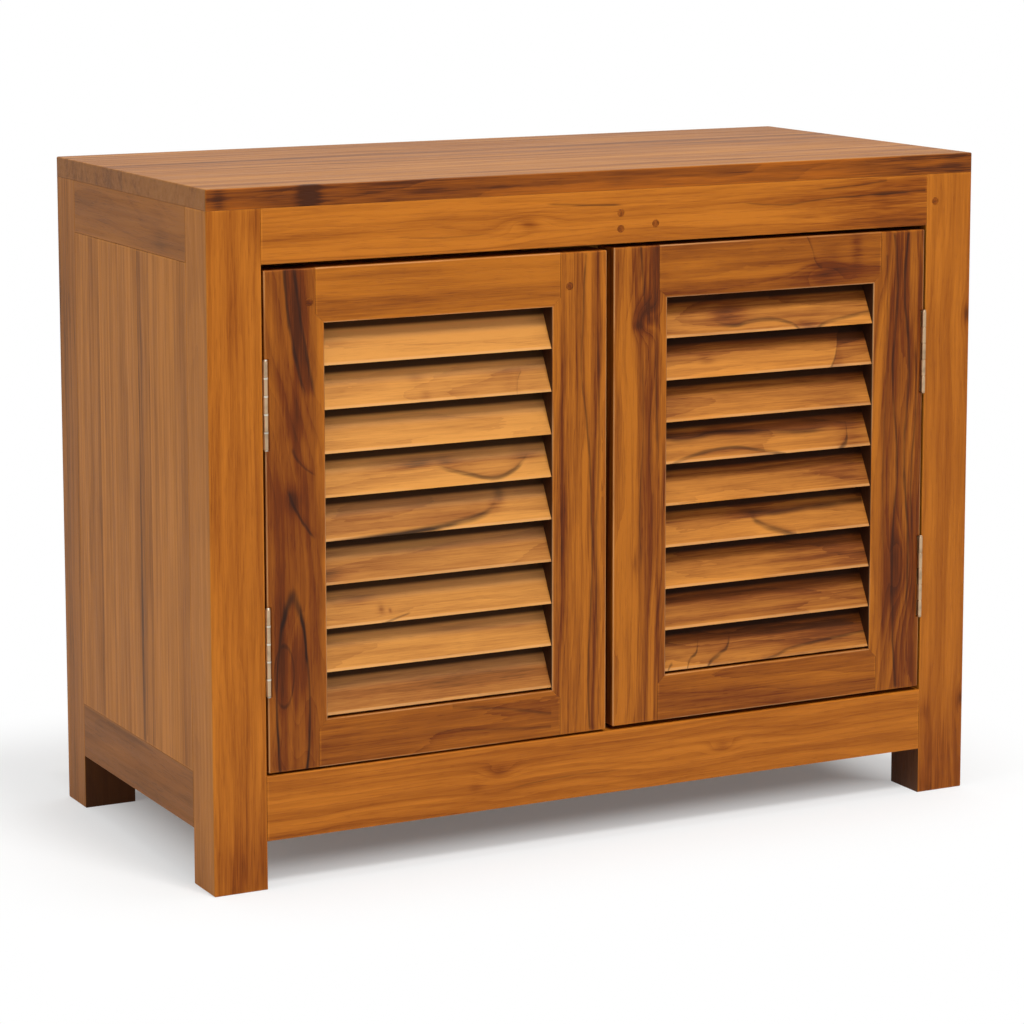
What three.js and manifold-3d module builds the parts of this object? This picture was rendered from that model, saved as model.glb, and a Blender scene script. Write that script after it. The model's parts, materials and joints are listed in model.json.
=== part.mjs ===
// A small teak cabinet with two louvred doors on butt hinges.
// Millimetres, +Z up. X runs along the front, Y runs from the front to the back,
// and the origin is on the floor under the middle of the whole cabinet.
import * as THREE from 'three';
import { mergeVertices } from 'three/addons/utils/BufferGeometryUtils.js';
import Module from 'manifold-3d';

const wasm = await Module();
wasm.setup();

// Overall size of the carcass
const cabinetWidth = 760;
const cabinetDepth = 356;
const cabinetHeight = 600;

// Carcass stock
const topThickness = 18;
const postWidth = 49;
const postDepth = 45;
const railThickness = 22;
const topRailHeight = 47;
const bottomRailTop = 99;
const longRailUnderside = 42;
const sideRailUnderside = 49;
const sidePanelThickness = 14;
const backPanelThickness = 12;
const floorThickness = 18;
const floorDrop = 7;
const floorHousing = 8;
const shelfThickness = 16;
const shelfUnderside = 329;
const shelfSetback = 6;
const shelfHousing = 5;
const shelfBackGap = 0.5;

// Joinery
const tenonThickness = 8;
const tenonLength = 25;
const grooveDepth = 8;
const tongueThickness = 5;
const grooveToTenon = 2;
const tenonShoulder = grooveDepth + grooveToTenon;
const glueLine = 0.1;
const fitClearance = 0.3;
const cutOverrun = 2;

// Doors. The left one hangs a little low and the right one a little high
const doorThickness = 28;
const doorTopGap = 4.2;
const doorBottomGap = 2.8;
const doorHang = 0.75;
const hingeGap = 2;
const meetingGap = 7;
const hingeStileWidth = 55;
const meetingStileWidth = 54;
const doorTopRailHeight = 47;
const doorBottomRailHeight = 41.5;
const mitredStrip = 8;
const doorTenonLength = 30;
const doorTenonShoulder = 9;

// Louvre slats
const slatCount = 9;
const slatTilt = THREE.MathUtils.degToRad(28);
const slatWidth = 40;
const slatThickness = 7;
const slatSetback = 1.5;
const slatHousing = 6;
const slatFootGap = 2.3;
const slatHeadGap = 1.3;

// Butt hinges
const hingeLength = 75;
const lowerHingeHeight = 105;
const upperHingeDrop = 113;
const leafWidth = 18;
const leafThickness = 1.2;
const barrelRadius = 2.1;
const axisForward = 1.5;
const pinRadius = 1;
const pinClearance = 0.2;
const pinHeadRadius = 1.7;
const pinHeadHeight = 0.9;
const pinHeadRound = 0.4;
const knuckleCount = 5;
const knuckleGap = 0.4;
const roundSides = 24;

// Door catch
const catchHeight = 12;
const catchDepth = 20;
const catchEndWall = 1.5;
const catchBlockEnd = 22;
const catchDropFromDoorTop = 3;
const catchGap = 0.5;
const poleProud = 0.8;
const poleWidth = 12;
const poleHeight = 8;
const strikeWidth = 14;
const strikeHeight = 14;
const strikeThickness = 1.2;
const strikeInset = 5;

// Planes that the pieces share
const halfWidth = cabinetWidth / 2;
const barrelProud = barrelRadius + axisForward;
const frontFace = barrelProud - (cabinetDepth + barrelProud) / 2;
const backFace = frontFace + cabinetDepth;
const carcassTop = cabinetHeight - topThickness;
const openingTop = carcassTop - topRailHeight;
const openingHalf = halfWidth - postWidth;
const frontPostBack = frontFace + postDepth;
const backPostFront = backFace - postDepth;
const backRailFront = backFace - railThickness;

// The doors fill the opening. The fixed leaf of a hinge is planted on the post, and the
// rest of the hinge is let into the door, so the axis lies just inside the door's edge
const doorFloor = bottomRailTop + doorBottomGap;
const doorHeight = openingTop - doorTopGap - doorFloor;
const doorBack = frontFace + doorThickness;
const axisX = openingHalf - glueLine - barrelRadius;
const axisY = frontFace - axisForward;
const doorStart = axisX - openingHalf + hingeGap;
const doorEnd = axisX - meetingGap / 2;
const louvreStart = doorStart + hingeStileWidth;
const louvreEnd = doorEnd - meetingStileWidth;
const louvreBottom = doorBottomRailHeight;
const louvreTop = doorHeight - doorTopRailHeight;
const jointStart = louvreStart - mitredStrip;
const jointEnd = louvreEnd + mitredStrip;

const sides = [
  { name: 'left', sign: -1, bottom: doorFloor - doorHang },
  { name: 'right', sign: 1, bottom: doorFloor + doorHang },
];
const ends = [-1, 1];

// Solids from three.js geometry, and back
function solidFrom(geometry) {
  const bare = geometry.clone();
  bare.deleteAttribute('normal');
  bare.deleteAttribute('uv');
  const merged = mergeVertices(bare);
  return new wasm.Manifold(new wasm.Mesh({
    numProp: 3,
    vertProperties: new Float32Array(merged.getAttribute('position').array),
    triVerts: new Uint32Array(merged.getIndex().array),
  }));
}

function piece(name, solid, material) {
  const { vertProperties, triVerts } = solid.getMesh();
  const geometry = new THREE.BufferGeometry();
  geometry.setAttribute('position', new THREE.BufferAttribute(vertProperties, 3));
  geometry.setIndex(new THREE.BufferAttribute(triVerts, 1));
  geometry.computeBoundingBox();
  const centre = geometry.boundingBox.getCenter(new THREE.Vector3());
  geometry.translate(-centre.x, -centre.y, -centre.z);
  geometry.computeVertexNormals();
  const mesh = new THREE.Mesh(geometry, material.clone());
  mesh.name = name;
  mesh.position.copy(centre);
  return mesh;
}

// A box between two values along each axis, given in either order
function span(x0, x1, y0, y1, z0, z1) {
  return new THREE.Box3().setFromPoints([new THREE.Vector3(x0, y0, z0), new THREE.Vector3(x1, y1, z1)]);
}

function block(box, growth = 0) {
  const full = box.clone().expandByScalar(growth);
  const size = full.getSize(new THREE.Vector3());
  const centre = full.getCenter(new THREE.Vector3());
  const geometry = new THREE.BoxGeometry(size.x, size.y, size.z);
  geometry.translate(centre.x, centre.y, centre.z);
  return solidFrom(geometry);
}

function joined(solids) {
  return solids.reduce((whole, next) => whole.add(next));
}

function cutAway(solid, tools) {
  return tools.reduce((rest, tool) => rest.subtract(tool), solid);
}

// A cylinder round a hinge axis, whose flats follow the same steps on every piece
function rod(radius, z0, z1) {
  const geometry = new THREE.CylinderGeometry(radius, radius, z1 - z0, roundSides);
  geometry.rotateX(Math.PI / 2);
  geometry.translate(0, 0, (z0 + z1) / 2);
  return solidFrom(geometry);
}

// A board seen from the front: an outline in X and Z, as thick as asked along Y
function upright(points, y0, thickness) {
  const outline = new THREE.Shape(points.map(([x, z]) => new THREE.Vector2(x, z)));
  const geometry = new THREE.ExtrudeGeometry(outline, { depth: thickness, bevelEnabled: false });
  geometry.rotateX(Math.PI / 2);
  geometry.translate(0, y0 + thickness, 0);
  return solidFrom(geometry);
}

// Materials
function wood(colour) {
  return new THREE.MeshStandardMaterial({ color: colour, roughness: 0.42, metalness: 0 });
}

const topWood = wood(0xb98a66);
const frontWood = wood(0xb4661f);
const sideWood = wood(0x9c6c42);
const innerWood = wood(0xa8743f);
const doorWood = wood(0x9a4f1c);
const slatWood = wood(0xcf8a3c);
const hingeMetal = new THREE.MeshStandardMaterial({ color: 0xb8a98a, roughness: 0.35, metalness: 0.9 });
const strikeMetal = new THREE.MeshStandardMaterial({ color: 0xa8a8a6, roughness: 0.4, metalness: 0.9 });
const catchPlastic = new THREE.MeshStandardMaterial({ color: 0x5a3a22, roughness: 0.5, metalness: 0 });

// The two tenons of a rail that runs along one axis
function tenonsOf(body, axis) {
  const across = axis === 'x' ? 'y' : 'x';
  const middle = (body.min[across] + body.max[across]) / 2;
  return ends.map((end) => {
    const tenon = body.clone();
    tenon.min[across] = middle - tenonThickness / 2;
    tenon.max[across] = middle + tenonThickness / 2;
    tenon.min.z += tenonShoulder;
    tenon.max.z -= tenonShoulder;
    if (end < 0) {
      tenon.max[axis] = body.min[axis] + cutOverrun;
      tenon.min[axis] = body.min[axis] - tenonLength;
    } else {
      tenon.min[axis] = body.max[axis] - cutOverrun;
      tenon.max[axis] = body.max[axis] + tenonLength;
    }
    return tenon;
  });
}

// A rail along the front or the back
function longRail(material, y0, z0, z1) {
  const reach = openingHalf - glueLine;
  const body = span(-reach, reach, y0, y0 + railThickness, z0, z1);
  return { material, body, tenons: tenonsOf(body, 'x') };
}

// A rail along one side
function sideRail(sign, z0, z1) {
  const outer = sign * halfWidth;
  const inner = sign * (halfWidth - railThickness);
  const body = span(outer, inner, frontPostBack + glueLine, backPostFront - glueLine, z0, z1);
  return { material: sideWood, body, tenons: tenonsOf(body, 'y') };
}

const rails = {
  front_apron: longRail(frontWood, frontFace, openingTop, carcassTop),
  front_bottom_rail: longRail(frontWood, frontFace, longRailUnderside, bottomRailTop),
  back_top_rail: longRail(sideWood, backRailFront, openingTop, carcassTop),
  back_bottom_rail: longRail(sideWood, backRailFront, longRailUnderside, bottomRailTop),
};
for (const { name, sign } of sides) {
  rails[`${name}_top_rail`] = sideRail(sign, openingTop, carcassTop);
  rails[`${name}_bottom_rail`] = sideRail(sign, sideRailUnderside, bottomRailTop);
}

// Panels stand between the posts and the rails, flush with their outer faces, with a
// tongue all round that sits in grooves
const panelLow = bottomRailTop + glueLine;
const panelHigh = openingTop - glueLine;

function withTongue(body, thinAxis) {
  const middle = (body.min[thinAxis] + body.max[thinAxis]) / 2;
  const tongue = body.clone().expandByScalar(grooveDepth);
  tongue.min[thinAxis] = middle - tongueThickness / 2;
  tongue.max[thinAxis] = middle + tongueThickness / 2;
  return { body, tongue };
}

function backPanel() {
  const reach = openingHalf - glueLine;
  const body = span(-reach, reach, backFace - backPanelThickness, backFace, panelLow, panelHigh);
  return withTongue(body, 'y');
}

function sidePanel(sign) {
  const outer = sign * halfWidth;
  const inner = sign * (halfWidth - sidePanelThickness);
  const body = span(outer, inner, frontPostBack + glueLine, backPostFront - glueLine, panelLow, panelHigh);
  return withTongue(body, 'x');
}

const panels = { back_panel: backPanel() };
for (const { name, sign } of sides) {
  panels[`${name}_side_panel`] = sidePanel(sign);
}

// The floor and the shelf are boards notched round the posts: a wide box between the
// posts, and a narrow one that runs on to the front and the back
const floorTop = bottomRailTop - floorDrop;
const notchReach = openingHalf - fitClearance;
const notchFront = frontPostBack + fitClearance;
const notchBack = backPostFront - fitClearance;

function notchedBoard(wideReach, front, back, z0, z1) {
  return [
    span(-wideReach, wideReach, notchFront, notchBack, z0, z1),
    span(-notchReach, notchReach, front, back, z0, z1),
  ];
}

const floorBoxes = notchedBoard(
  halfWidth - railThickness + floorHousing - fitClearance,
  frontFace + railThickness - floorHousing + fitClearance,
  backRailFront + floorHousing - fitClearance,
  floorTop - floorThickness,
  floorTop,
);
const shelfBoxes = notchedBoard(
  halfWidth - sidePanelThickness + shelfHousing - fitClearance,
  doorBack + shelfSetback,
  backFace - backPanelThickness - shelfBackGap,
  shelfUnderside,
  shelfUnderside + shelfThickness,
);

// Hinges. Each is drawn round its own axis, with the backs of both leaves in line with
// the outside of the barrel
const hingeHalf = hingeLength / 2;
const leafStart = barrelRadius + fitClearance;
const leafEnd = leafStart + leafWidth;
const knuckleLength = (hingeLength - (knuckleCount - 1) * knuckleGap) / knuckleCount;
const hingeHeights = { lower: lowerHingeHeight, upper: doorHeight - upperHingeDrop };

// The room that a hinge takes out of the door's edge: a shallow recess for the leaf, and
// a deeper one at the front for the barrel and its pin's heads
function hingeRecess(inward, height) {
  const leafReach = barrelRadius + glueLine;
  const leafHalf = hingeHalf + fitClearance;
  const barrelReach = barrelRadius + fitClearance;
  const barrelHalf = leafHalf + pinHeadHeight + fitClearance;
  const edge = inward * (doorStart - cutOverrun);
  const leafBack = leafEnd + fitClearance;
  return [
    block(span(edge, inward * leafReach, 0, leafBack, height - leafHalf, height + leafHalf)),
    block(span(edge, inward * barrelReach, 0, leafStart, height - barrelHalf, height + barrelHalf)),
  ];
}

// A leaf lies on the side of `toward`, and carries every other knuckle
function hingeLeaf(toward, firstKnuckle) {
  const outer = toward * barrelRadius;
  const inner = outer - toward * leafThickness;
  const solids = [block(span(inner, outer, leafStart, leafEnd, -hingeHalf, hingeHalf))];
  for (let index = firstKnuckle; index < knuckleCount; index += 2) {
    const low = index * (knuckleLength + knuckleGap) - hingeHalf;
    const high = low + knuckleLength;
    solids.push(block(span(inner, outer, 0, leafStart + leafThickness, low, high)));
    solids.push(rod(barrelRadius, low, high));
  }
  const bore = rod(pinRadius + pinClearance, -hingeHalf - cutOverrun, hingeHalf + cutOverrun);
  return cutAway(joined(solids), [bore]);
}

function hingePin() {
  const headStart = hingeHalf + fitClearance;
  const top = headStart + pinHeadHeight;
  const upper = [
    [pinRadius, headStart],
    [pinHeadRadius, headStart],
    [pinHeadRadius, top - pinHeadRound],
    [pinHeadRadius - pinHeadRound, top],
    [0, top],
  ];
  const lower = upper.map(([radius, height]) => [radius, -height]).reverse();
  const profile = [...lower, ...upper].map(([radius, height]) => new THREE.Vector2(radius, height));
  const geometry = new THREE.LatheGeometry(profile, roundSides);
  geometry.rotateX(Math.PI / 2);
  return solidFrom(geometry);
}

// Posts, cut for the tenons and tongues that are let into them
function post(name, sign, front) {
  const y0 = front ? frontFace : backPostFront;
  const body = span(sign * halfWidth, sign * openingHalf, y0, y0 + postDepth, 0, carcassTop);
  const tenons = Object.values(rails).flatMap((rail) => rail.tenons);
  const tongues = Object.values(panels).map((panel) => panel.tongue);
  const tools = [...tenons, ...tongues].map((box) => block(box, fitClearance));
  return piece(name, cutAway(block(body), tools), front ? frontWood : sideWood);
}

function railPiece(name, rail) {
  const whole = joined([rail.body, ...rail.tenons].map((box) => block(box)));
  const tools = [...Object.values(panels).map((panel) => panel.tongue), ...floorBoxes];
  return piece(name, cutAway(whole, tools.map((box) => block(box, fitClearance))), rail.material);
}

function panelPiece(name, panel) {
  const whole = joined([block(panel.body), block(panel.tongue)]);
  return piece(name, cutAway(whole, shelfBoxes.map((box) => block(box, fitClearance))), sideWood);
}

function topBoard() {
  const box = span(-halfWidth, halfWidth, frontFace, backFace, carcassTop + glueLine, cabinetHeight);
  return piece('top_board', block(box), topWood);
}

function notchedPiece(name, boxes) {
  return piece(name, joined(boxes.map((box) => block(box))), innerWood);
}

// The catch hangs from a block behind the apron, and each of its poles meets the
// strike plate on one door
const catchTop = doorFloor + doorHeight - catchDropFromDoorTop;
const poleFace = doorBack + glueLine + strikeThickness + catchGap;
const catchFace = poleFace + poleProud;
const poleMiddle = meetingGap / 2 + strikeInset + strikeWidth / 2;
const catchHalf = poleMiddle + poleWidth / 2 + catchEndWall;
const catchMiddle = catchTop - glueLine - catchHeight / 2;

function catchBlock() {
  const half = catchHalf + catchBlockEnd;
  const box = span(-half, half, catchFace, catchFace + catchDepth, catchTop, carcassTop);
  return piece('catch_block', block(box), innerWood);
}

function doorCatch() {
  const low = catchMiddle - catchHeight / 2;
  const high = catchMiddle + catchHeight / 2;
  const housing = block(span(-catchHalf, catchHalf, catchFace, catchFace + catchDepth, low, high));
  const poles = ends.map((end) => block(span(
    end * poleMiddle - poleWidth / 2,
    end * poleMiddle + poleWidth / 2,
    poleFace,
    catchFace + cutOverrun,
    catchMiddle - poleHeight / 2,
    catchMiddle + poleHeight / 2,
  )));
  return piece('door_catch', joined([housing, ...poles]), catchPlastic);
}

// A door is drawn from its hinge axis and its bottom edge. Distances along it are
// counted from the axis, and `inward` turns them into X
const doorFaceY = axisForward;

function doorBoard(inward, points) {
  return upright(points.map(([along, z]) => [inward * along, z]), doorFaceY, doorThickness);
}

// A stile carries its strip of the mitred border between the two rails
function stileOutline(edge, joint, louvre) {
  return [
    [edge, 0],
    [joint, 0],
    [joint, louvreBottom - mitredStrip],
    [louvre, louvreBottom],
    [louvre, louvreTop],
    [joint, louvreTop + mitredStrip],
    [joint, doorHeight],
    [edge, doorHeight],
  ];
}

// A rail narrows along its mitres to the width of the louvre opening
function doorRailOutline(edge, border, louvre) {
  return [
    [jointStart + glueLine, edge],
    [jointStart + glueLine, border],
    [louvreStart + glueLine, louvre],
    [louvreEnd - glueLine, louvre],
    [jointEnd - glueLine, border],
    [jointEnd - glueLine, edge],
  ];
}

function doorTenons(inward, low, high) {
  const y0 = doorFaceY + (doorThickness - tenonThickness) / 2;
  return [
    [jointStart - doorTenonLength, jointStart + cutOverrun],
    [jointEnd - cutOverrun, jointEnd + doorTenonLength],
  ].map(([start, end]) => span(inward * start, inward * end, y0, y0 + tenonThickness, low, high));
}

// The slat's section in Y and Z, from its front lower edge: the face leans back as it
// rises, and the lower edge is planed level
function slatSection(growth) {
  const sin = Math.sin(slatTilt);
  const cos = Math.cos(slatTilt);
  const front = -growth;
  const back = slatThickness + growth;
  const top = slatWidth + growth;
  const foot = -growth;
  return new THREE.Shape([
    new THREE.Vector2((front + foot * sin) / cos, foot),
    new THREE.Vector2((back + foot * sin) / cos, foot),
    new THREE.Vector2(back * cos + top * sin, top * cos - back * sin),
    new THREE.Vector2(front * cos + top * sin, top * cos - front * sin),
  ]);
}

function slatGeometry(length, growth) {
  const geometry = new THREE.ExtrudeGeometry(slatSection(growth), { depth: length, bevelEnabled: false });
  geometry.translate(0, 0, -length / 2);
  const alongX = new THREE.Matrix4().makeBasis(
    new THREE.Vector3(0, 1, 0),
    new THREE.Vector3(0, 0, 1),
    new THREE.Vector3(1, 0, 0),
  );
  return geometry.applyMatrix4(alongX);
}

const slatLength = louvreEnd - louvreStart + 2 * (slatHousing - fitClearance);
const slatRise = slatWidth * Math.cos(slatTilt);
const slatPitch = (louvreTop - louvreBottom - slatFootGap - slatHeadGap - slatRise) / (slatCount - 1);

function slatPlace(inward, index) {
  const x = inward * (louvreStart + louvreEnd) / 2;
  const z = louvreBottom + slatFootGap + index * slatPitch;
  return new THREE.Vector3(x, doorFaceY + slatSetback, z);
}

function slatHousings(inward) {
  return Array.from({ length: slatCount }, (_, index) => {
    const place = slatPlace(inward, index);
    const geometry = slatGeometry(slatLength + 2 * fitClearance, fitClearance);
    return solidFrom(geometry.translate(place.x, place.y, place.z));
  });
}

// The stiles and rails of a door
function doorFrame(name, inward) {
  const topBorder = louvreTop + mitredStrip;
  const topTenons = doorTenons(inward, topBorder + doorTenonShoulder, doorHeight - doorTenonShoulder);
  const bottomTenons = doorTenons(inward, doorTenonShoulder, louvreBottom - mitredStrip - grooveToTenon);
  const meetingCuts = [
    ...[...topTenons, ...bottomTenons].map((box) => block(box, fitClearance)),
    ...slatHousings(inward),
  ];
  const hingeStileCuts = [
    ...meetingCuts,
    ...Object.values(hingeHeights).flatMap((height) => hingeRecess(inward, height)),
  ];
  const stile = (outline, tools) => cutAway(doorBoard(inward, outline), tools);
  const rail = (outline, tenons) => joined([doorBoard(inward, outline), ...tenons.map((box) => block(box))]);
  const solids = {
    hinge_stile: stile(stileOutline(doorStart, jointStart, louvreStart), hingeStileCuts),
    meeting_stile: stile(stileOutline(doorEnd, jointEnd, louvreEnd), meetingCuts),
    top_rail: rail(doorRailOutline(doorHeight, topBorder, louvreTop), topTenons),
    bottom_rail: rail(doorRailOutline(0, louvreBottom - mitredStrip, louvreBottom), bottomTenons),
  };
  return Object.entries(solids).map(([part, solid]) => piece(`${name}_door_${part}`, solid, doorWood));
}

// Slats are counted from the top
function slats(name, inward) {
  const geometry = slatGeometry(slatLength, 0);
  return Array.from({ length: slatCount }, (_, index) => {
    const mesh = new THREE.Mesh(geometry.clone(), slatWood.clone());
    mesh.name = `${name}_door_slat_${slatCount - index}`;
    mesh.position.copy(slatPlace(inward, index));
    return mesh;
  });
}

function strikePlate(name, inward, bottom) {
  const start = doorEnd - strikeInset;
  const y0 = doorFaceY + doorThickness + glueLine;
  const middle = catchMiddle - bottom;
  return piece(`${name}_door_strike_plate`, block(span(
    inward * start,
    inward * (start - strikeWidth),
    y0,
    y0 + strikeThickness,
    middle - strikeHeight / 2,
    middle + strikeHeight / 2,
  )), strikeMetal);
}

// A piece of each of a door's two hinges, at the height of its hinge
function onHinges(name, part, makeSolid) {
  return Object.entries(hingeHeights).map(([level, height]) => {
    const mesh = piece(`${name}_${level}_hinge_${part}`, makeSolid(), hingeMetal);
    mesh.position.z += height;
    return mesh;
  });
}

function door({ name, sign, bottom }) {
  const inward = -sign;
  const group = new THREE.Group();
  group.position.set(sign * axisX, axisY, bottom);
  group.add(...doorFrame(name, inward));
  group.add(...slats(name, inward));
  group.add(strikePlate(name, inward, bottom));
  group.add(...onHinges(name, 'door_leaf', () => hingeLeaf(inward, 1)));
  return group;
}

// The leaves on the posts and the pins stay with the carcass
function fixedHingeParts({ name, sign, bottom }) {
  const group = new THREE.Group();
  group.position.set(sign * axisX, axisY, bottom);
  group.add(...onHinges(name, 'frame_leaf', () => hingeLeaf(sign, 0)));
  group.add(...onHinges(name, 'pin', hingePin));
  return group;
}

function carcass() {
  const group = new THREE.Group();
  group.add(topBoard());
  for (const { name, sign } of sides) {
    group.add(post(`front_${name}_post`, sign, true));
    group.add(post(`back_${name}_post`, sign, false));
  }
  for (const [name, rail] of Object.entries(rails)) {
    group.add(railPiece(name, rail));
  }
  for (const [name, panel] of Object.entries(panels)) {
    group.add(panelPiece(name, panel));
  }
  group.add(notchedPiece('floor_board', floorBoxes));
  group.add(notchedPiece('shelf', shelfBoxes));
  group.add(catchBlock(), doorCatch());
  for (const side of sides) {
    group.add(fixedHingeParts(side));
  }
  return group;
}

const cabinet = new THREE.Group();
cabinet.add(carcass());
for (const side of sides) {
  cabinet.add(door(side));
}

export default cabinet;
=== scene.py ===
"""A small teak cabinet with two louvred doors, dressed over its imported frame.

Lengths are in metres, in the frame's own axes: X runs along the front, Y from the front
to the back, and Z up from the floor. Marks on the wood are read in millimetres, right and
down from the upper left corner of a board, seen from the front or from the left. On a
board seen from above they are read right and back from its front left corner.
"""

import json
import math
import random

import bmesh
import bpy
from bpy.props import FloatProperty, FloatVectorProperty, IntProperty, PointerProperty
from mathutils import Matrix, Vector


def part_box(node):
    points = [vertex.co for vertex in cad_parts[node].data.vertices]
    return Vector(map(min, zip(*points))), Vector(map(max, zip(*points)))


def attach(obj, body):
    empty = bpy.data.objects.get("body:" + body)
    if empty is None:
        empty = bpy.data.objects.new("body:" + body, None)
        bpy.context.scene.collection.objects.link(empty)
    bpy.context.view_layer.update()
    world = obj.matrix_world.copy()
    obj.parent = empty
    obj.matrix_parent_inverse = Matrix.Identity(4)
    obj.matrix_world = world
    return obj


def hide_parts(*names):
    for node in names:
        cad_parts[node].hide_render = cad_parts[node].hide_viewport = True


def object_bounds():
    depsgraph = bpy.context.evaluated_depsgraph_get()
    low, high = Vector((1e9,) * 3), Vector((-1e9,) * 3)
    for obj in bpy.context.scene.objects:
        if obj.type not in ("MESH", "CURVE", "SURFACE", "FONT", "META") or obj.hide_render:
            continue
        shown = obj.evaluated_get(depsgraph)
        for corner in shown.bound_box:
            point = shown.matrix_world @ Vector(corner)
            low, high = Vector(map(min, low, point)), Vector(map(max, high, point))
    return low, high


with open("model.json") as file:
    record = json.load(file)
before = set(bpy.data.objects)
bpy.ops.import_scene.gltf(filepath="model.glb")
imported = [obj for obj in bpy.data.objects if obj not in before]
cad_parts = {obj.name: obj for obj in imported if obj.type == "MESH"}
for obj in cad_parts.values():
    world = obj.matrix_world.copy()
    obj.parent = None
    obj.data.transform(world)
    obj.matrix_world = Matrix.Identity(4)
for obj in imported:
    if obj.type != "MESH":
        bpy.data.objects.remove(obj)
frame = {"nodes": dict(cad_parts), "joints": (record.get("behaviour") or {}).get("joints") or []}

cad_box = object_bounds()

bl_info = {
    "name": "Louvred door cabinet",
    "version": (1, 0, 0),
    "blender": (4, 5, 0),
    "location": "View3D > Sidebar > Cabinet",
    "description": "Builds the visible pieces of a teak cabinet with two louvred doors",
    "category": "Object",
}

MM = 0.001
SIDES = {"left": -1, "right": 1}
WHITE = (1.0, 1.0, 1.0, 1.0)

# Worked edges and small fittings: their size in millimetres, and what it is
LENGTHS = {
    "open_arris": (1.3, "Rounding of the edges that meet no other piece"),
    "eased_arris": (0.6, "Rounding of the edges that other pieces butt against"),
    "joint_arris": (0.25, "Rounding of the edges at a flush joint"),
    "slat_arris": (0.9, "Rounding of the louvre slats"),
    "mitred_strip": (8.0, "Width of the mitred border of a louvre opening"),
    "glue_line": (0.1, "Gap between a panel and its frame"),
    "peg_diameter": (6.6, "Diameter of the wood pegs that lock the tenons"),
    "peg_gap": (0.15, "Dark line round a peg"),
    "knuckle_relief": (0.2, "How far the knuckles lie under the bright rings"),
    "knuckle_gap": (0.4, "Gap between the knuckles of a hinge with no rings"),
    "ring_gap": (1.6, "Gap between the knuckles of a hinge with bright rings"),
    "screw_diameter": (6.4, "Diameter of the hinge screws' heads"),
}

# Families of timber: their title, their pale and their dark wood, and where it is
TIMBERS = {
    "top": ("Top", "9e6521", "784512", "of the top board"),
    "side": ("Sides", "b36f22", "895012", "of the sides and the back"),
    "front": ("Front", "bb6d1b", "823f04", "of the front posts and rails"),
    "frame": ("Door frames", "b16617", "6a2e03", "of the stiles and rails of the doors"),
    "slat": ("Left slats", "d28e40", "985a24", "of the left door's slats"),
    "right_slat": ("Right slats", "cb8233", "7f4215", "of the right door's slats"),
    "edge": ("Top's edge", "a2560f", "5c2a05", "of the top board's long edges"),
    "end": ("Top's ends", "9a6225", "7d4a18", "of the top board's ends"),
    # Painted shade: dark colours for faces where shade falls, inside a louvre opening and under the
    # cabinet
    "reveal": ("Reveals", "40200c", "200e05", "inside a louvre opening"),
    "inner": ("Inside", "b37630", "85501c", "of the shelf and the floor"),
}
# Every colour: its title, its six hex digits, and what it is
PAINTS = {}
for family, (title, pale, dark, where) in TIMBERS.items():
    PAINTS[f"{family}_light"] = (f"{title}, light", pale, f"Pale wood {where}")
    PAINTS[f"{family}_dark"] = (f"{title}, dark", dark, f"Dark wood {where}")
PAINTS |= {
    # This colour paints pale rubbed wood, the painted highlight on long arrises and the painted
    # sheen on slats
    "worn": ("Worn arrises", "e0b07c", "Pale wood where an arris is rubbed"),
    # The colour of the veins also paints the shadow band along the top of each slat
    "vein": ("Veins", "221006", "The almost black lines in the wood"),
    "hinge": ("Hinges", "c0a382", "Nickelled brass of the hinges"),
    "steel": ("Steel", "d9d0bf", "Steel of the plates and screws"),
    "plastic": ("Catch", "4a2f1e", "Brown plastic of the door catch"),
    "floor": ("Floor", "f0f2f2", "The studio floor"),
}


def tint(code):
    """A colour written as six hex digits, as the linear values that a shader takes."""
    channels = [int(code[start:start + 2], 16) / 255 for start in (0, 2, 4)]
    return tuple(c / 12.92 if c <= 0.04045 else ((c + 0.055) / 1.055) ** 2.4 for c in channels)


def share(name, description, default, highest):
    return FloatProperty(name=name, description=description, default=default, min=0.0, max=highest)


def power(name, where, watts):
    return FloatProperty(name=name, description=f"Power of the large lamp {where}", default=watts,
                         min=0.0, subtype="POWER", unit="POWER")


class CabinetShapes(bpy.types.PropertyGroup):
    """Sizes of the worked edges and the small fittings."""

    __annotations__ = {
        key: FloatProperty(name=key.replace("_", " ").capitalize(), description=what,
                           default=size * MM, min=0.0, precision=5,
                           subtype="DISTANCE", unit="LENGTH")
        for key, (size, what) in LENGTHS.items()
    }


class CabinetColours(bpy.types.PropertyGroup):
    """Colours of the timber, the metal and the plastic."""

    __annotations__ = {
        key: FloatVectorProperty(name=title, description=what, default=tint(code), min=0.0, max=1.0,
                                 size=3, subtype="COLOR")
        for key, (title, code, what) in PAINTS.items()
    }


class CabinetStudio(bpy.types.PropertyGroup):
    """Light and camera of the studio."""

    key_power: power("Key lamp", "over the front", 66.0)
    top_power: power("Top lamp", "overhead", 44.0)
    fill_power: power("Fill lamp", "on the left", 25.0)
    surround: share("Surround", "Strength of the even light from all round", 0.34, 2.0)
    floor_glow: share(
        "Floor glow", "How much of the floor's white doesn't darken in shadow", 0.12, 0.5,
    )
    lens: FloatProperty(name="Lens", description="Focal length of the camera in millimetres",
                        default=120.19, min=1.0)


def sizes():
    return bpy.context.scene.cabinet_shapes


def paints():
    return bpy.context.scene.cabinet_colours
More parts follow.
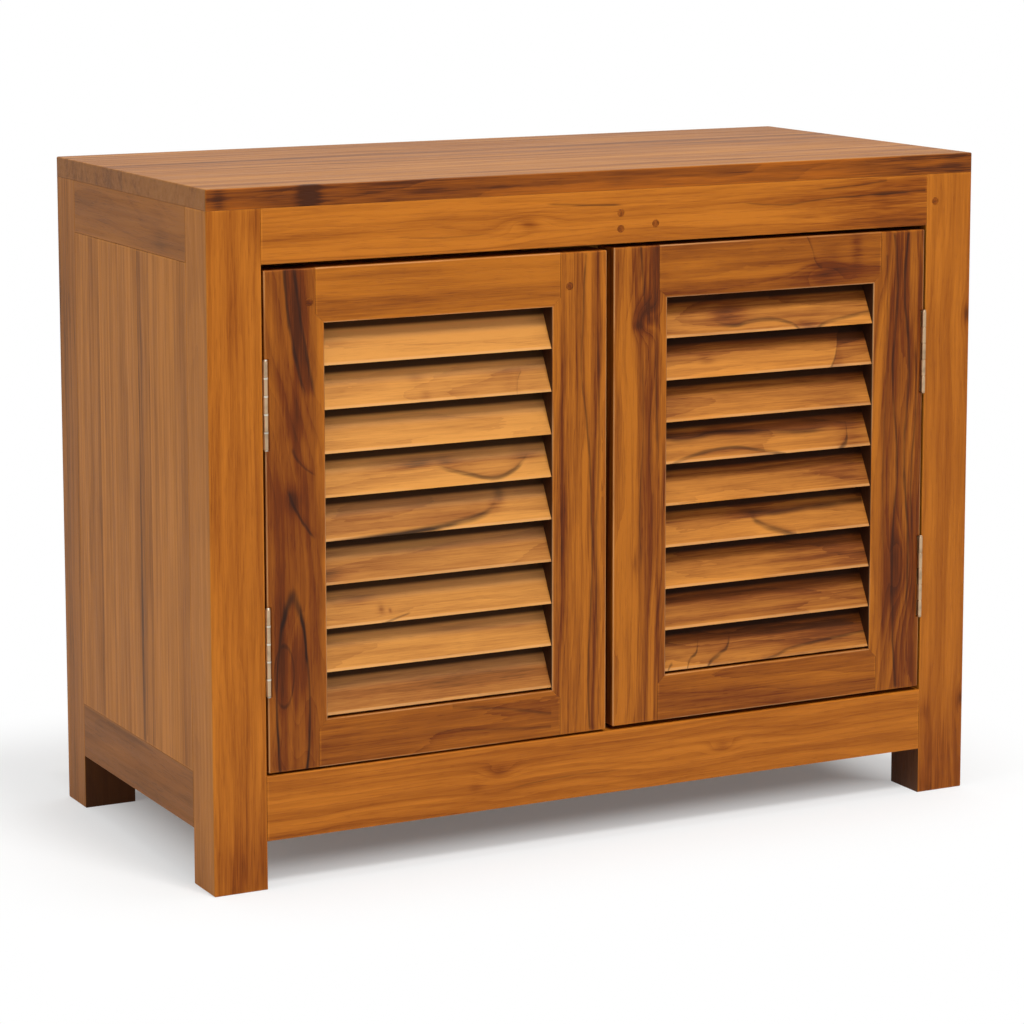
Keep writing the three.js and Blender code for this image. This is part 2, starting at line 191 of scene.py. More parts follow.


# Wood figure. A look says how a board was sawn from its log, in millimetres:
#   ring     spacing of the growth rings
#   pith     where the heart of the tree lies from the board's middle, across and through it
#   drift    how the heart wanders across and through the board, per length along it
#   wander   how far the rings stray from round
#   rings, bands, streaks, cloud    strength of each kind of light and dark
#   tone     darkness of the whole board
#   swirls   places where the rings close up: right, down, their reaches, strength
#   patches  darker or lighter places: right, down, their reaches, strength
#   veins    drawn dark lines: width, strength, the shade on their upper or right side, or on
#            the other side where it is negative, how far it fades, and their points
#   islands  closed dark lines: right, down, their reaches, strength, and the shade inside
#   boards   joints of a panel: how far from its edge, and the change of tone beyond
#   glue     darkness of those joints
#   worn     how pale the long arrises are, as wear and as a painted highlight
#   shade    how much darker the upper half of a slat is, a painted shade
#   bleach   how much paler and greyer the upper half of a slat is, a painted sheen
PLAIN = dict(
    wander=9.0, rings=0.28, bands=0.3, streaks=0.45, cloud=0.35, glue=0.3, worn=0.0, shade=0.0,
    painted_sheen=0.0, swirls=(), patches=(), veins=(), islands=(), boards=(),
)

LOOKS = {
    "front_apron": dict(
        ring=5, pith=(60, 25), drift=(0.012, 0.0), rings=0.24, tone=0.25,
        swirls=((251, 25, 24, 9, 10),),
        patches=((251, 25, 9, 4, 0.7), (640, 24, 95, 60, 0.72), (250, 25, 40, 12, 0.12),
            (30, 8, 60, 8, -0.1)),
        veins=((1.1, 0.7, 0.25, 7, (458, 15), (505, 21), (547, 18), (623, 16), (661, 15)),
            (1, 0.55, 0.2, 6, (541, 9), (580, 7), (618, 4)),
            (1.4, 0.85, 0.2, 6, (265, 9), (310, 12), (345, 13)),
            (1, 0.3, 0.1, 6, (120, 30), (170, 33), (215, 31)))),
    "front_bottom_rail": dict(
        ring=5.5, pith=(-50, 30), drift=(-0.01, 0.0), rings=0.24, tone=0.38,
        swirls=((221, 24, 20, 8, 9), (448, 29, 16, 7, 8)),
        patches=((221, 24, 9, 5, 0.5), (198, 34, 7, 4, 0.4), (448, 29, 8, 4, 0.45),
            (330, 50, 160, 9, 0.14)), veins=((1, 0.35, 0.12, 6, (230, 40), (290, 36), (350, 38)),)),
    "front_left_post": dict(
        ring=4.5, pith=(50, 20), drift=(0.006, 0.0), rings=0.2, bands=0.24, tone=0.4,
        patches=((44, 12, 7, 24, 0.5), (6, 250, 6, 200, 0.25), (24, 565, 60, 36, 0.36),
            (30, 480, 8, 90, 0.15), (28, 60, 12, 60, 0.12), (34, 330, 8, 120, -0.12))),
    "front_right_post": dict(
        ring=4.5, pith=(-55, 25), rings=0.16, bands=0.2, streaks=0.34, tone=0.46,
        swirls=((46, 132, 8, 16, 7), (46, 497, 8, 16, 7)),
        patches=((46, 132, 5, 9, 0.7), (46, 497, 5, 9, 0.6), (6, 502, 5, 9, 0.4),
            (25, 565, 60, 60, 0.5), (14, 60, 16, 60, -0.15), (36, 330, 9, 120, 0.14))),
    "left_door_hinge_stile": dict(
        ring=9, pith=(-70, 12), drift=(-0.16, 0.0), wander=12, rings=0.16, bands=0.36,
        streaks=0.36, cloud=0.5, tone=0.74,
        swirls=((24, 362, 12, 78, 27), (8, 418, 10, 26, 16), (30, 150, 26, 60, -9)),
        patches=((52, 215, 5, 300, -0.5), (4, 60, 7, 80, -0.2), (30, 130, 10, 20, 0.3),
            (24, 196, 7, 10, 0.6), (8, 395, 8, 30, -0.3), (33, 30, 8, 50, 0.5),
            (12, 250, 10, 30, -0.2), (38, 265, 6, 40, -0.2), (23, 400, 8, 40, -0.25)),
        veins=((2.4, 0.8, 0.4, 12, (19, 0), (22, 40), (27, 70), (38, 112)),
            (2.2, 0.8, -0.35, 9, (28, 0), (33, 40), (38, 70), (46, 112)),
            (2, 0.6, 0.15, 6, (24, 150), (30, 163), (46, 177)),
            (2.4, 0.75, 0.2, 8, (19, 184), (26, 202), (45, 232))),
        islands=((23, 376, 15, 95, 0.95, 0.08), (15, 346, 9, 27, 0.6, 0.1))),
    "left_door_meeting_stile": dict(
        ring=5, pith=(40, 24), drift=(0.015, 0.0), rings=0.34, bands=0.5, streaks=0.65, tone=0.4,
        patches=((10, 200, 8, 240, 0.2), (30, 230, 6, 120, -0.3), (46, 120, 6, 120, 0.3),
            (46, 330, 5, 90, 0.25)),
        veins=((1.4, 0.6, 0.3, 7, (33, 0), (30, 60), (29, 110), (34, 150), (38, 200), (39, 310),
                (36, 360), (38, 429)),
            (1.2, 0.5, 0.15, 5, (44, 60), (46, 150), (44, 260), (46, 380)))),
    "left_door_top_rail": dict(
        pith=(40, 40), rings=0.2, bands=0.26, tone=0.3,
        patches=((200, 10, 60, 20, -0.15), (60, 40, 90, 10, 0.12))),
    "left_door_bottom_rail": dict(
        rings=0.3, bands=0.4, tone=0.56,
        veins=((2.2, 0.45, 0.2, 8, (126, 4), (170, 10), (224, 21)),
            (1.8, 0.3, 0.15, 6, (90, 22), (150, 27), (224, 33)))),
    "right_door_meeting_stile": dict(
        ring=5, pith=(-35, 22), drift=(0.03, 0.0), rings=0.36, bands=0.55, streaks=0.6, tone=0.46,
        swirls=((33, 66, 12, 14, 12),),
        patches=((30, 22, 22, 46, 0.5), (36, 62, 9, 11, 0.7), (24, 70, 4, 4, 0.6),
            (46, 240, 5, 200, 0.35), (12, 230, 12, 190, -0.2), (22, 282, 2, 9, 0.4)),
        veins=((1.8, 0.6, 0.2, 6, (27, 0), (29, 30), (32, 58)),
            (1.6, 0.5, 0.2, 6, (40, 0), (41, 40), (42, 80), (45, 200)),
            (1.4, 0.4, 0.15, 6, (28, 90), (30, 160), (27, 240), (29, 300)))),
    "right_door_top_rail": dict(
        ring=7, pith=(20, 30), drift=(0.05, 0.0), rings=0.22, bands=0.4, cloud=0.5, tone=0.6,
        swirls=((170, 34, 20, 10, 11),),
        patches=((172, 37, 22, 9, 0.5), (206, 14, 6, 14, 0.5), (186, 30, 24, 5, 0.3),
            (60, 20, 60, 22, -0.25), (30, 6, 40, 8, 0.25), (178, 12, 14, 10, 0.2)),
        veins=((1.8, 0.45, 0.2, 7, (152, 0), (158, 12), (161, 22), (170, 30)),)),
    "right_door_bottom_rail": dict(
        rings=0.3, bands=0.4, tone=0.64, patches=((90, 20, 60, 12, 0.14), (180, 8, 60, 8, -0.12))),
    "right_door_hinge_stile": dict(
        ring=6, pith=(45, 10), drift=(0.05, 0.0), wander=14, bands=0.45, streaks=0.5, cloud=0.5,
        tone=0.6, swirls=((34, 318, 14, 40, 16), (40, 120, 12, 60, 10)),
        patches=((5, 200, 5, 300, -0.45), (34, 318, 12, 34, 0.2), (46, 100, 7, 60, 0.4),
            (30, 60, 10, 60, 0.15), (20, 390, 10, 40, -0.15)),
        veins=((2, 0.7, 0.3, 8, (22, 0), (26, 60), (22, 130), (28, 210), (24, 300), (30, 429)),
            (2, 0.75, 0.3, 8, (38, 0), (34, 50), (40, 120), (36, 210), (42, 300), (38, 380)),
            (1.6, 0.55, 0.0, 6, (46, 90), (48, 160), (44, 240), (47, 300)),
            (1.4, 0.4, 0.1, 5, (14, 20), (16, 110), (13, 220), (16, 330)))),
    "left_door_slat_1": dict(tone=0.0, patches=((12, 20, 26, 5, 0.3), (215, 20, 14, 20, 0.2))),
    "left_door_slat_2": dict(
        tone=0.26,
        patches=((96, 15, 8, 5, 0.45), (102, 30, 6, 8, 0.3), (186, 24, 10, 12, 0.25),
            (16, 26, 20, 14, 0.2), (208, 28, 11, 9, 0.16)),
        veins=((1.4, 0.35, 0.15, 12, (188, 38), (190, 30), (193, 22), (198, 16)),)),
    "left_door_slat_3": dict(tone=0.24, patches=((14, 26, 12, 14, 0.14), (120, 14, 40, 3, 0.2))),
    "left_door_slat_4": dict(
        tone=0.2,
        patches=((97, 14, 36, 5.5, 1.3), (50, 19, 26, 3, 0.4), (206, 14, 12, 8, 0.6),
            (166, 12, 40, 6, 0.3)),
        veins=((3.4, 0.7, 0.55, 26, (112, 17), (130, 23), (145, 27), (171, 31), (186, 27),
                (197, 21), (207, 12)),)),
    "left_door_slat_5": dict(
        tone=0.26,
        patches=((205, 8, 20, 8, 0.3), (177, 9, 5, 9, 1), (170, 19, 6, 6, 0.6),
            (60, 12, 60, 6, 0.2)),
        veins=((4.6, 0.95, 0.4, 60, (0, 38), (60, 35), (100, 33), (130, 30), (152, 27),
                (166, 22), (174, 12), (177, 2)),)),
    "left_door_slat_6": dict(tone=0.62, patches=((8, 26, 16, 14, 0.3), (215, 20, 14, 16, 0.2))),
    "left_door_slat_7": dict(
        tone=0.36, patches=((36, 14, 28, 6, 0.6), (60, 24, 3, 5, 0.5), (68, 26, 1.5, 2, 0.7)),
        veins=((1.4, 0.55, 0.0, 5, (55, 36), (70, 33), (88, 29)),)),
    "left_door_slat_8": dict(tone=0.22, patches=((140, 12, 26, 6, 0.3), (190, 16, 20, 1.5, 0.4))),
    "left_door_slat_9": dict(rings=0.2, tone=0.66, patches=((100, 20, 200, 8, 0.15),)),
    "right_door_slat_1": dict(
        tone=0.3, patches=((70, 18, 24, 9, 0.8), (154, 34, 10, 8, 0.5)),
        veins=((3, 0.66, 0.36, 50, (54, 22), (64, 26), (78, 28), (93, 26), (108, 25), (123, 26),
                (137, 30), (148, 38), (156, 40), (163, 36), (172, 32), (190, 29), (224, 25)),)),
    "right_door_slat_2": dict(
        tone=0.34, patches=((52, 20, 8, 6, 0.3), (30, 30, 24, 4, 0.15), (206, 10, 20, 12, 0.4)),
        veins=((2.4, 0.5, -0.62, 60, (174, 39), (181, 32), (188, 22), (191, 15), (197, 3),
                (226, -4)),)),
    "right_door_slat_3": dict(tone=0.3, patches=((10, 24, 26, 16, 0.3), (196, 26, 44, 26, 0.3))),
    "right_door_slat_4": dict(
        tone=0.32, patches=((206, 20, 14, 18, 0.35),),
        veins=((3.8, 0.6, 0.4, 12, (2, 12), (34, 16), (60, 13), (123, 16), (175, 17), (190, 13)),
            (2.8, 0.66, -0.3, 14, (8, 37), (34, 30), (56, 27), (83, 26), (98, 29), (132, 36)),
            (4.6, 0.66, 0.2, 10, (186, 38), (193, 33), (199, 27), (202, 17), (203, 6)))),
    "right_door_slat_5": dict(tone=0.44, patches=((30, 28, 34, 10, -0.3), (206, 24, 34, 20, 0.3))),
    "right_door_slat_6": dict(
        tone=0.44, patches=((100, 14, 26, 4, 0.5), (112, 32, 16, 5, -0.4)),
        veins=((4.6, 0.6, 0.2, 8, (84, 12), (120, 15), (160, 14), (222, 12)),
            (5.4, 0.62, 0.3, 12, (98, 16), (112, 25), (128, 31), (144, 38)))),
    "right_door_slat_7": dict(tone=0.48, patches=((190, 22, 60, 12, 0.34), (60, 32, 60, 8, -0.26))),
    "right_door_slat_8": dict(tone=0.6, patches=((130, 36, 100, 4, -0.3),)),
    "right_door_slat_9": dict(
        ring=5, rings=0.4, bands=0.5, tone=0.62,
        patches=((190, 12, 20, 8, 0.4), (24, 30, 30, 14, -0.3), (140, 18, 60, 8, 0.2)),
        veins=((2.6, 0.66, 0.0, 5, (28, 40), (30, 34), (34, 28), (44, 20), (48, 8)),
            (2.9, 0.66, 0.2, 6, (48, 40), (54, 32), (66, 26), (76, 20), (82, 6)),
            (2.4, 0.6, 0.0, 5, (8, 38), (10, 34), (16, 29)),
            (2.4, 0.68, 0.25, 9, (96, 39), (120, 34), (140, 29), (190, 24), (224, 22)))),
    "top_board": dict(
        ring=7, pith=(0.0, 60), drift=(0.03, 0.02), rings=0.3, bands=0.5, streaks=0.8, cloud=0.6,
        tone=0.46, glue=0.2,
        boards=((62, -0.06), (125, 0.12), (190, 0.26), (255, -0.24), (303, 0.08)),
        patches=((93, 0, 9, 4, 1.5), (12, 0, 6, 2, 0.5), (190, 0, 110, 3, 0.3),
            (30, 0, 36, 3, -0.3), (520, 0, 100, 3, -0.1), (720, 0, 140, 3, 0.4),
            (748, 0, 34, 3, 0.35))),
    "left_side_panel": dict(
        ring=5, pith=(20, 50), drift=(0.0, 0.02), rings=0.2, streaks=0.7, tone=0.42, glue=0.12,
        boards=((17, 0.06), (36, 0.2), (58, -0.38), (84, 0.14), (113, 0.02), (152, 0.22),
            (180, -0.4), (238, 0.3), (262, -0.06)),
        patches=((153, 330, 4, 110, 0.6), (160, 120, 3, 90, 0.3), (216, 20, 9, 120, -0.2)),
        veins=((1.8, 0.4, 0.0, 5, (153, 30), (154, 160), (152, 300), (153, 436)),
            (1.8, 0.4, 0.0, 5, (160, 250), (163, 330), (160, 430)))),
    "right_side_panel": dict(
        streaks=0.6, boards=((34, 0.1), (86, -0.14), (131, 0.12), (178, 0.06), (222, -0.1))),
    "back_panel": dict(
        streaks=0.6,
        boards=((78, 0.08), (160, -0.12), (236, 0.1), (322, 0.06), (398, -0.14), (486, 0.1),
            (570, -0.05))),
    "back_left_post": dict(rings=0.2, tone=0.86),
    "left_top_rail": dict(
        rings=0.12, bands=0.16, streaks=0.2, tone=0.9, patches=((208, 24, 20, 30, 0.2),)),
    "left_bottom_rail": dict(rings=0.1, bands=0.14, streaks=0.16, tone=1.08),
}


def drawn_look(name, given):
    """The look of a board: what is given, and the rest drawn from the board's own name."""
    draw = random.Random(name)
    return PLAIN | dict(
        ring=draw.uniform(4.5, 8.0),
        pith=(draw.uniform(-25.0, 25.0), draw.choice((-1, 1)) * draw.uniform(30.0, 70.0)),
        drift=(draw.uniform(-0.02, 0.02), draw.uniform(-0.05, 0.05)),
        tone=draw.uniform(0.34, 0.5),
        seed=draw.uniform(0.0, 60.0),
    ) | LOOKS.get(name, {}) | given


def summed(operation, swapped=False):
    """A method that answers an operator with a Math node."""
    def method(self, other):
        return self.finish.maths(operation, *((other, self) if swapped else (self, other)))
    return method


class Value:
    """A socket of a shader that takes part in Python sums by adding Math nodes."""

    def __init__(self, finish, socket):
        self.finish = finish
        self.socket = socket

    __add__ = __radd__ = summed("ADD")
    __sub__ = summed("SUBTRACT")
    __rsub__ = summed("SUBTRACT", swapped=True)
    __mul__ = __rmul__ = summed("MULTIPLY")
    __truediv__ = summed("DIVIDE")
    __pow__ = summed("POWER")

    def __neg__(self):
        return self * -1.0

    def __abs__(self):
        return self.finish.maths("ABSOLUTE", self)


# Where a Mix node has its factor and its two colours, and the mixed colour
MIX_INPUTS, MIX_OUTPUT = (0, 6, 7), 2


class Finish:
    """A material or a world under construction."""

    def __init__(self, owner):
        owner.use_nodes = True
        self.tree = owner.node_tree
        self.tree.nodes.clear()

    def node(self, kind, settings=None, inputs=None, output=0):
        """Adds a node: first its settings, then its sockets' values or links."""
        made = self.tree.nodes.new(kind)
        for name, value in (settings or {}).items():
            if name == "points":
                curve = made.mapping.curves[0]
                curve.points[0].location = value[0]
                curve.points[-1].location = value[-1]
                for point in value[1:-1]:
                    curve.points.new(*point)
                made.mapping.update()
            else:
                setattr(made, name, value)
        for name, value in (inputs or {}).items():
            if isinstance(value, Value):
                self.tree.links.new(value.socket, made.inputs[name])
            else:
                made.inputs[name].default_value = value
        return Value(self, made.outputs[output]) if len(made.outputs) else None

    def maths(self, operation, *values):
        return self.node("ShaderNodeMath", {"operation": operation}, dict(enumerate(values)))

    def most(self, first, second):
        return self.maths("MAXIMUM", first, second)

    def least(self, first, second):
        return self.maths("MINIMUM", first, second)

    def clamped(self, value):
        """The value, held between zero and one."""
        return self.node("ShaderNodeClamp", inputs={"Value": value})

    def vector(self, operation, *values, output=0):
        inputs = dict(enumerate(values))
        return self.node("ShaderNodeVectorMath", {"operation": operation}, inputs, output)

    def dot(self, first, second):
        return self.vector("DOT_PRODUCT", first, second, output="Value")

    def parts(self, vector):
        """The three values of a vector."""
        outputs = self.node("ShaderNodeSeparateXYZ", inputs={0: vector}).socket.node.outputs
        return [Value(self, socket) for socket in outputs]

    def joined(self, *values):
        """The vector of three values."""
        return self.node("ShaderNodeCombineXYZ", inputs=dict(enumerate(values)))

    def place(self):
        return self.node("ShaderNodeTexCoord", output="Object")

    def between(self, value, start, end):
        """Zero before start, one after end, and smooth from one to the other."""
        return self.node("ShaderNodeMapRange", {"interpolation_type": "SMOOTHSTEP"},
                         {"Value": value, "From Min": start, "From Max": end})

    def mixed(self, part, first, second):
        """A colour part of the way from the first to the second."""
        ends = [shade if isinstance(shade, Value) else (*shade, 1.0) for shade in (first, second)]
        inputs = dict(zip(MIX_INPUTS, (part, *ends)))
        return self.node("ShaderNodeMix", {"data_type": "RGBA"}, inputs, MIX_OUTPUT)

    def cloud(self, place, lengths, seed, detail, output="Fac"):
        """Noise whose patches are about as long as lengths, in millimetres, along each axis."""
        scales = [1 / (length * MM) for length in lengths]
        stretched = self.vector("MULTIPLY_ADD", place, scales, [seed] * 3)
        return self.node("ShaderNodeTexNoise", {"noise_dimensions": "3D"},
                         {"Vector": stretched, "Scale": 1.0, "Detail": detail}, output)

    def ripple(self, value):
        """Noise along a single value."""
        return self.node("ShaderNodeTexNoise", {"noise_dimensions": "1D"},
                         {"W": value, "Scale": 1.0, "Detail": 1.0})

    def hill(self, place, mark):
        """One at the middle of a mark, falling off smoothly over its reaches."""
        out = self.vector("MULTIPLY_ADD", place, *mark)
        return self.maths("EXPONENT", -self.dot(out, out))

    def surface(self, relief, depth, inputs):
        """Ends a material in one shader, with a relief of that depth."""
        bump = self.node("ShaderNodeBump",
                         inputs={"Strength": 1.0, "Distance": depth, "Height": relief})
        shader = self.node("ShaderNodeBsdfPrincipled", inputs={**inputs, "Normal": bump})
        self.node("ShaderNodeOutputMaterial", inputs={"Surface": shader})


def new_material(name):
    material = bpy.data.materials.new(name)
    return material, Finish(material)


# A door's louvre slats: how many, and their lean and size
SLATS = 9
SLAT_LEAN = math.radians(28)
SLAT_WIDTH = 40 * MM
SLAT_THICKNESS = 7 * MM


class Timber:
    """How the grain lies in a board: its middle, its half sizes and its directions.

    Both the sizes and the directions run along, across and through the board.
    """

    def __init__(self, low, high, grain, view="front", lean=0.0):
        self.low, self.high, self.view, self.lean = low, high, view, lean
        self.middle = (low + high) / 2
        size = high - low
        first = "xyz".index(grain)
        rest = sorted((axis for axis in range(3) if axis != first), key=lambda axis: -size[axis])
        order = [first, *rest]
        self.directions = [Vector([float(axis == way) for axis in range(3)]) for way in order]
        self.half = [size[way] / 2 for way in order]
        if lean:
            self.directions[1:] = [Vector((0.0, math.sin(lean), math.cos(lean))),
                                   Vector((0.0, math.cos(lean), -math.sin(lean)))]
            self.half[1:] = [SLAT_WIDTH / 2, SLAT_THICKNESS / 2]
        self.swapped = grain != {"front": "x", "side": "y", "top": "x"}[view]

    def place(self, right, down):
        """Where a reading on the face lies along and across the board."""
        right *= MM
        down *= MM
        low, high, middle = self.low, self.high, self.middle
        point = Vector({
            "front": (low.x + right, middle.y, high.z - down),
            "side": (middle.x, high.y - right, high.z - down),
            "top": (low.x + right, low.y + down, middle.z),
        }[self.view]) - middle
        if self.lean:
            # A reading on a leaning face is taken along its own slope
            return [point.x, (point.z - self.half[2] * math.sin(self.lean)) / math.cos(self.lean)]
        return [point.dot(direction) for direction in self.directions[:2]]

    def mark(self, right, down, *reaches):
        """The scales and shifts that turn a point into its way from a mark, in its reaches."""
        scales = [1 / (reach * MM) for reach in (reversed(reaches) if self.swapped else reaches)]
        shifts = [-at * scale for at, scale in zip(self.place(right, down), scales)]
        return (*scales, 0.0), (*shifts, 0.0)


def seams_of(finish, timber, seams, across):
    """For a panel glued up from boards: which board a point is on, its tone, and the glue lines."""
    number = tone = line = 0.0
    test = "LESS_THAN" if timber.view == "side" else "GREATER_THAN"
    for reading, change in seams:
        spot = timber.place(0, reading) if timber.view == "top" else timber.place(reading, 0)
        beyond = finish.maths(test, across, spot[1])
        number = beyond + number
        tone = beyond * change + tone
        line = finish.most(line, 1 - finish.between(abs(across - spot[1]), 0.0, GLUE_SPREAD))
    return number, tone, line


def vein_of(finish, timber, along, across, waver, width, shade, fade, points):
    """A dark line through the points, and the shade beside it, both faint at its ends."""
    spots = sorted(timber.place(*point) for point in points)
    start, end = spots[0][0], spots[-1][0]
    reach = end - start
    half = timber.half[1] * CURVE_ROOM
    curve = finish.node(
        "ShaderNodeFloatCurve",
        {"points": [((u - start) / reach, 0.5 + v / (2 * half)) for u, v in spots]},
        {"Value": (along - start) / reach},
    )
    gap = across - (curve - 0.5) * (2 * half) + waver * VEIN_WAVER
    line = 1 - finish.between(abs(gap), VEIN_CORE * width * MM, width * MM)
    shown = 1.0
    for (u, v), inward in ((spots[0], 1), (spots[-1], -1)):
        at_edge = abs(u) > NEAR_END * timber.half[0] or abs(v) > NEAR_EDGE * timber.half[1]
        fading = inward * reach * (SHORT_FADE if at_edge else LONG_FADE)
        shown = finish.between(along, u, u + fading) * shown
    side = gap if shade > 0 else -gap
    beside = finish.between(side, 0.0, VEIN_SIDE) * finish.between(side, fade * MM, 0.0)
    return line * shown, beside * shown * abs(shade)


def shades_of(family):
    """The light and the dark tone of a family of boards."""
    return [getattr(paints(), f"{family}_{tone}") for tone in ("light", "dark")]


def shaded(shade, part):
    return tuple(tone * part for tone in shade)


def way_of(direction):
    """The unit vector of a direction such as -x."""
    return [float(direction[1] == axis) * (-1 if direction[0] == "-" else 1) for axis in "xyz"]


# Noise in the wood: how long its patches are along, across and through the board in
# millimetres, how far its seed lies from the board's own, and its detail
STRAY = ((160, 34, 34), 0.0, 1.0)
GRAIN = {
    "fray": ((14, 2.2, 2.2), 3.1, 1.0),
    "streaks": ((190, 5, 5), 5.9, 3.0),
    "fine": ((36, 1.2, 1.2), 8.7, 1.0),
    "mottle": ((120, 20, 20), 17.3, 2.0),
    "pores": ((11, 0.75, 0.75), 2.3, 0.0),
    "waver": ((26, 7, 7), 13.9, 1.0),
}
# The mean of a noise
MEAN = 0.5
# How many patches of the bands' noise there are to a ring
BANDS_PER_RING = 0.42
# How late wood comes in over a ring, and its mean
LATE_POWER, LATE_MEAN = 3.0, 0.25
# How far the rings fray, and how strongly streaks, fine marks, clouds, pores and ends show
FRAY, STREAK, FINE, CLOUD, PORE, END_GRAIN = 1.1 * MM, 2.2, 1.3, 2.0, 0.12, 0.3
# From where to where a thing comes in, along its own noise, direction, darkness or distance
BAND_EDGES = (0.38, 0.62)
PORE_EDGES = (0.6, 0.74)
FAINT_EDGES = (0.25, 0.6)
RUBBED_EDGES = (0.3, 0.6)
LOOKING = (0.6, 0.8)
END_LOOKING = (0.6, 0.9)
DEEP = (0.9, 1.6)
RUBBED_REACH = (0.6 * MM, 2.2 * MM)
WORN_HIGHLIGHT_REACH = (1.5 * MM, 0.5 * MM)
OUTER_FACE = (2 * MM, -2 * MM)
# Where across a slat its painted shade, its painted sheen and its painted shadow band come in
SLAT_SHADE = (-5 * MM, 6 * MM)
SLAT_SHEEN = (-3 * MM, 5 * MM)
SLAT_SHADOW_BAND = (8.5 * MM, 12.5 * MM)
SHORE = (0.01, 0.12)
ISLAND = (1.02, 0.94)
FOOT_HEIGHTS = (90 * MM, 75 * MM)
DULL_EDGES, DUST_EDGES = (0.45, 0.75), (0.45, 0.8)
# Parts of a colour or of a mark's strength
DEEP_SHADE, EDGE_DEEP_SHADE, FOOT_SHADE, SLAT_SHADOW_DARKNESS = 0.4, 0.35, 0.88, 0.94
DULL_METAL, DUSTY_PLASTIC = 0.72, 1.35
# Marks' own sizes: how far a board of a panel is moved in the log, the reach of a glue line,
# the room for a vein's curve, a vein's waver, core and side, and how its ends fade
BOARD_ACROSS, BOARD_ALONG = 37 * MM, 0.73
GLUE_SPREAD = 0.5 * MM
CURVE_ROOM = 1.4
VEIN_WAVER, VEIN_CORE, VEIN_SIDE, ISLAND_WAVER = 2.0 * MM, 0.1, 0.8 * MM, 0.14
SHORT_FADE, LONG_FADE, NEAR_END, NEAR_EDGE = 0.01, 0.15, 0.9, 0.8
# How faint the drawn lines grow in places, and how irregularly
FAINTEST, FAINT_WAVER = 0.5, 0.6
# Depth of the relief of each finish, and what each thing in the wood adds to it
WOOD_RELIEF, METAL_RELIEF, SKIN_RELIEF = 0.12 * MM, 0.03 * MM, 0.05 * MM
STREAK_RELIEF, PORE_RELIEF, RING_RELIEF, GLUE_RELIEF = 0.5, 0.7, 0.15, 0.8
# Roughness of each finish, what each thing in it adds to that, and how much light it mirrors
WOOD_ROUGH, STREAK_ROUGH, LINE_ROUGH, WOOD_GLOSS = 0.52, 0.2, 0.08, 0.16
MARK_ROUGH, DULL_ROUGH = 0.18, 0.14
PLASTIC_ROUGH, DUST_ROUGH = 0.46, 0.16
FLOOR_ROUGH, GRIT_ROUGH, FLOOR_GLOSS = 0.8, 0.1, 0.2
# Length of the patches on metal, plastic and the floor along each axis, in millimetres
DULL_PATCHES, DUST_PATCHES = (9, 9, 9), (7, 7, 7)
SKIN_GRAINS, FLOOR_PATCHES = (0.5, 0.5, 0.5), (60, 60, 60)


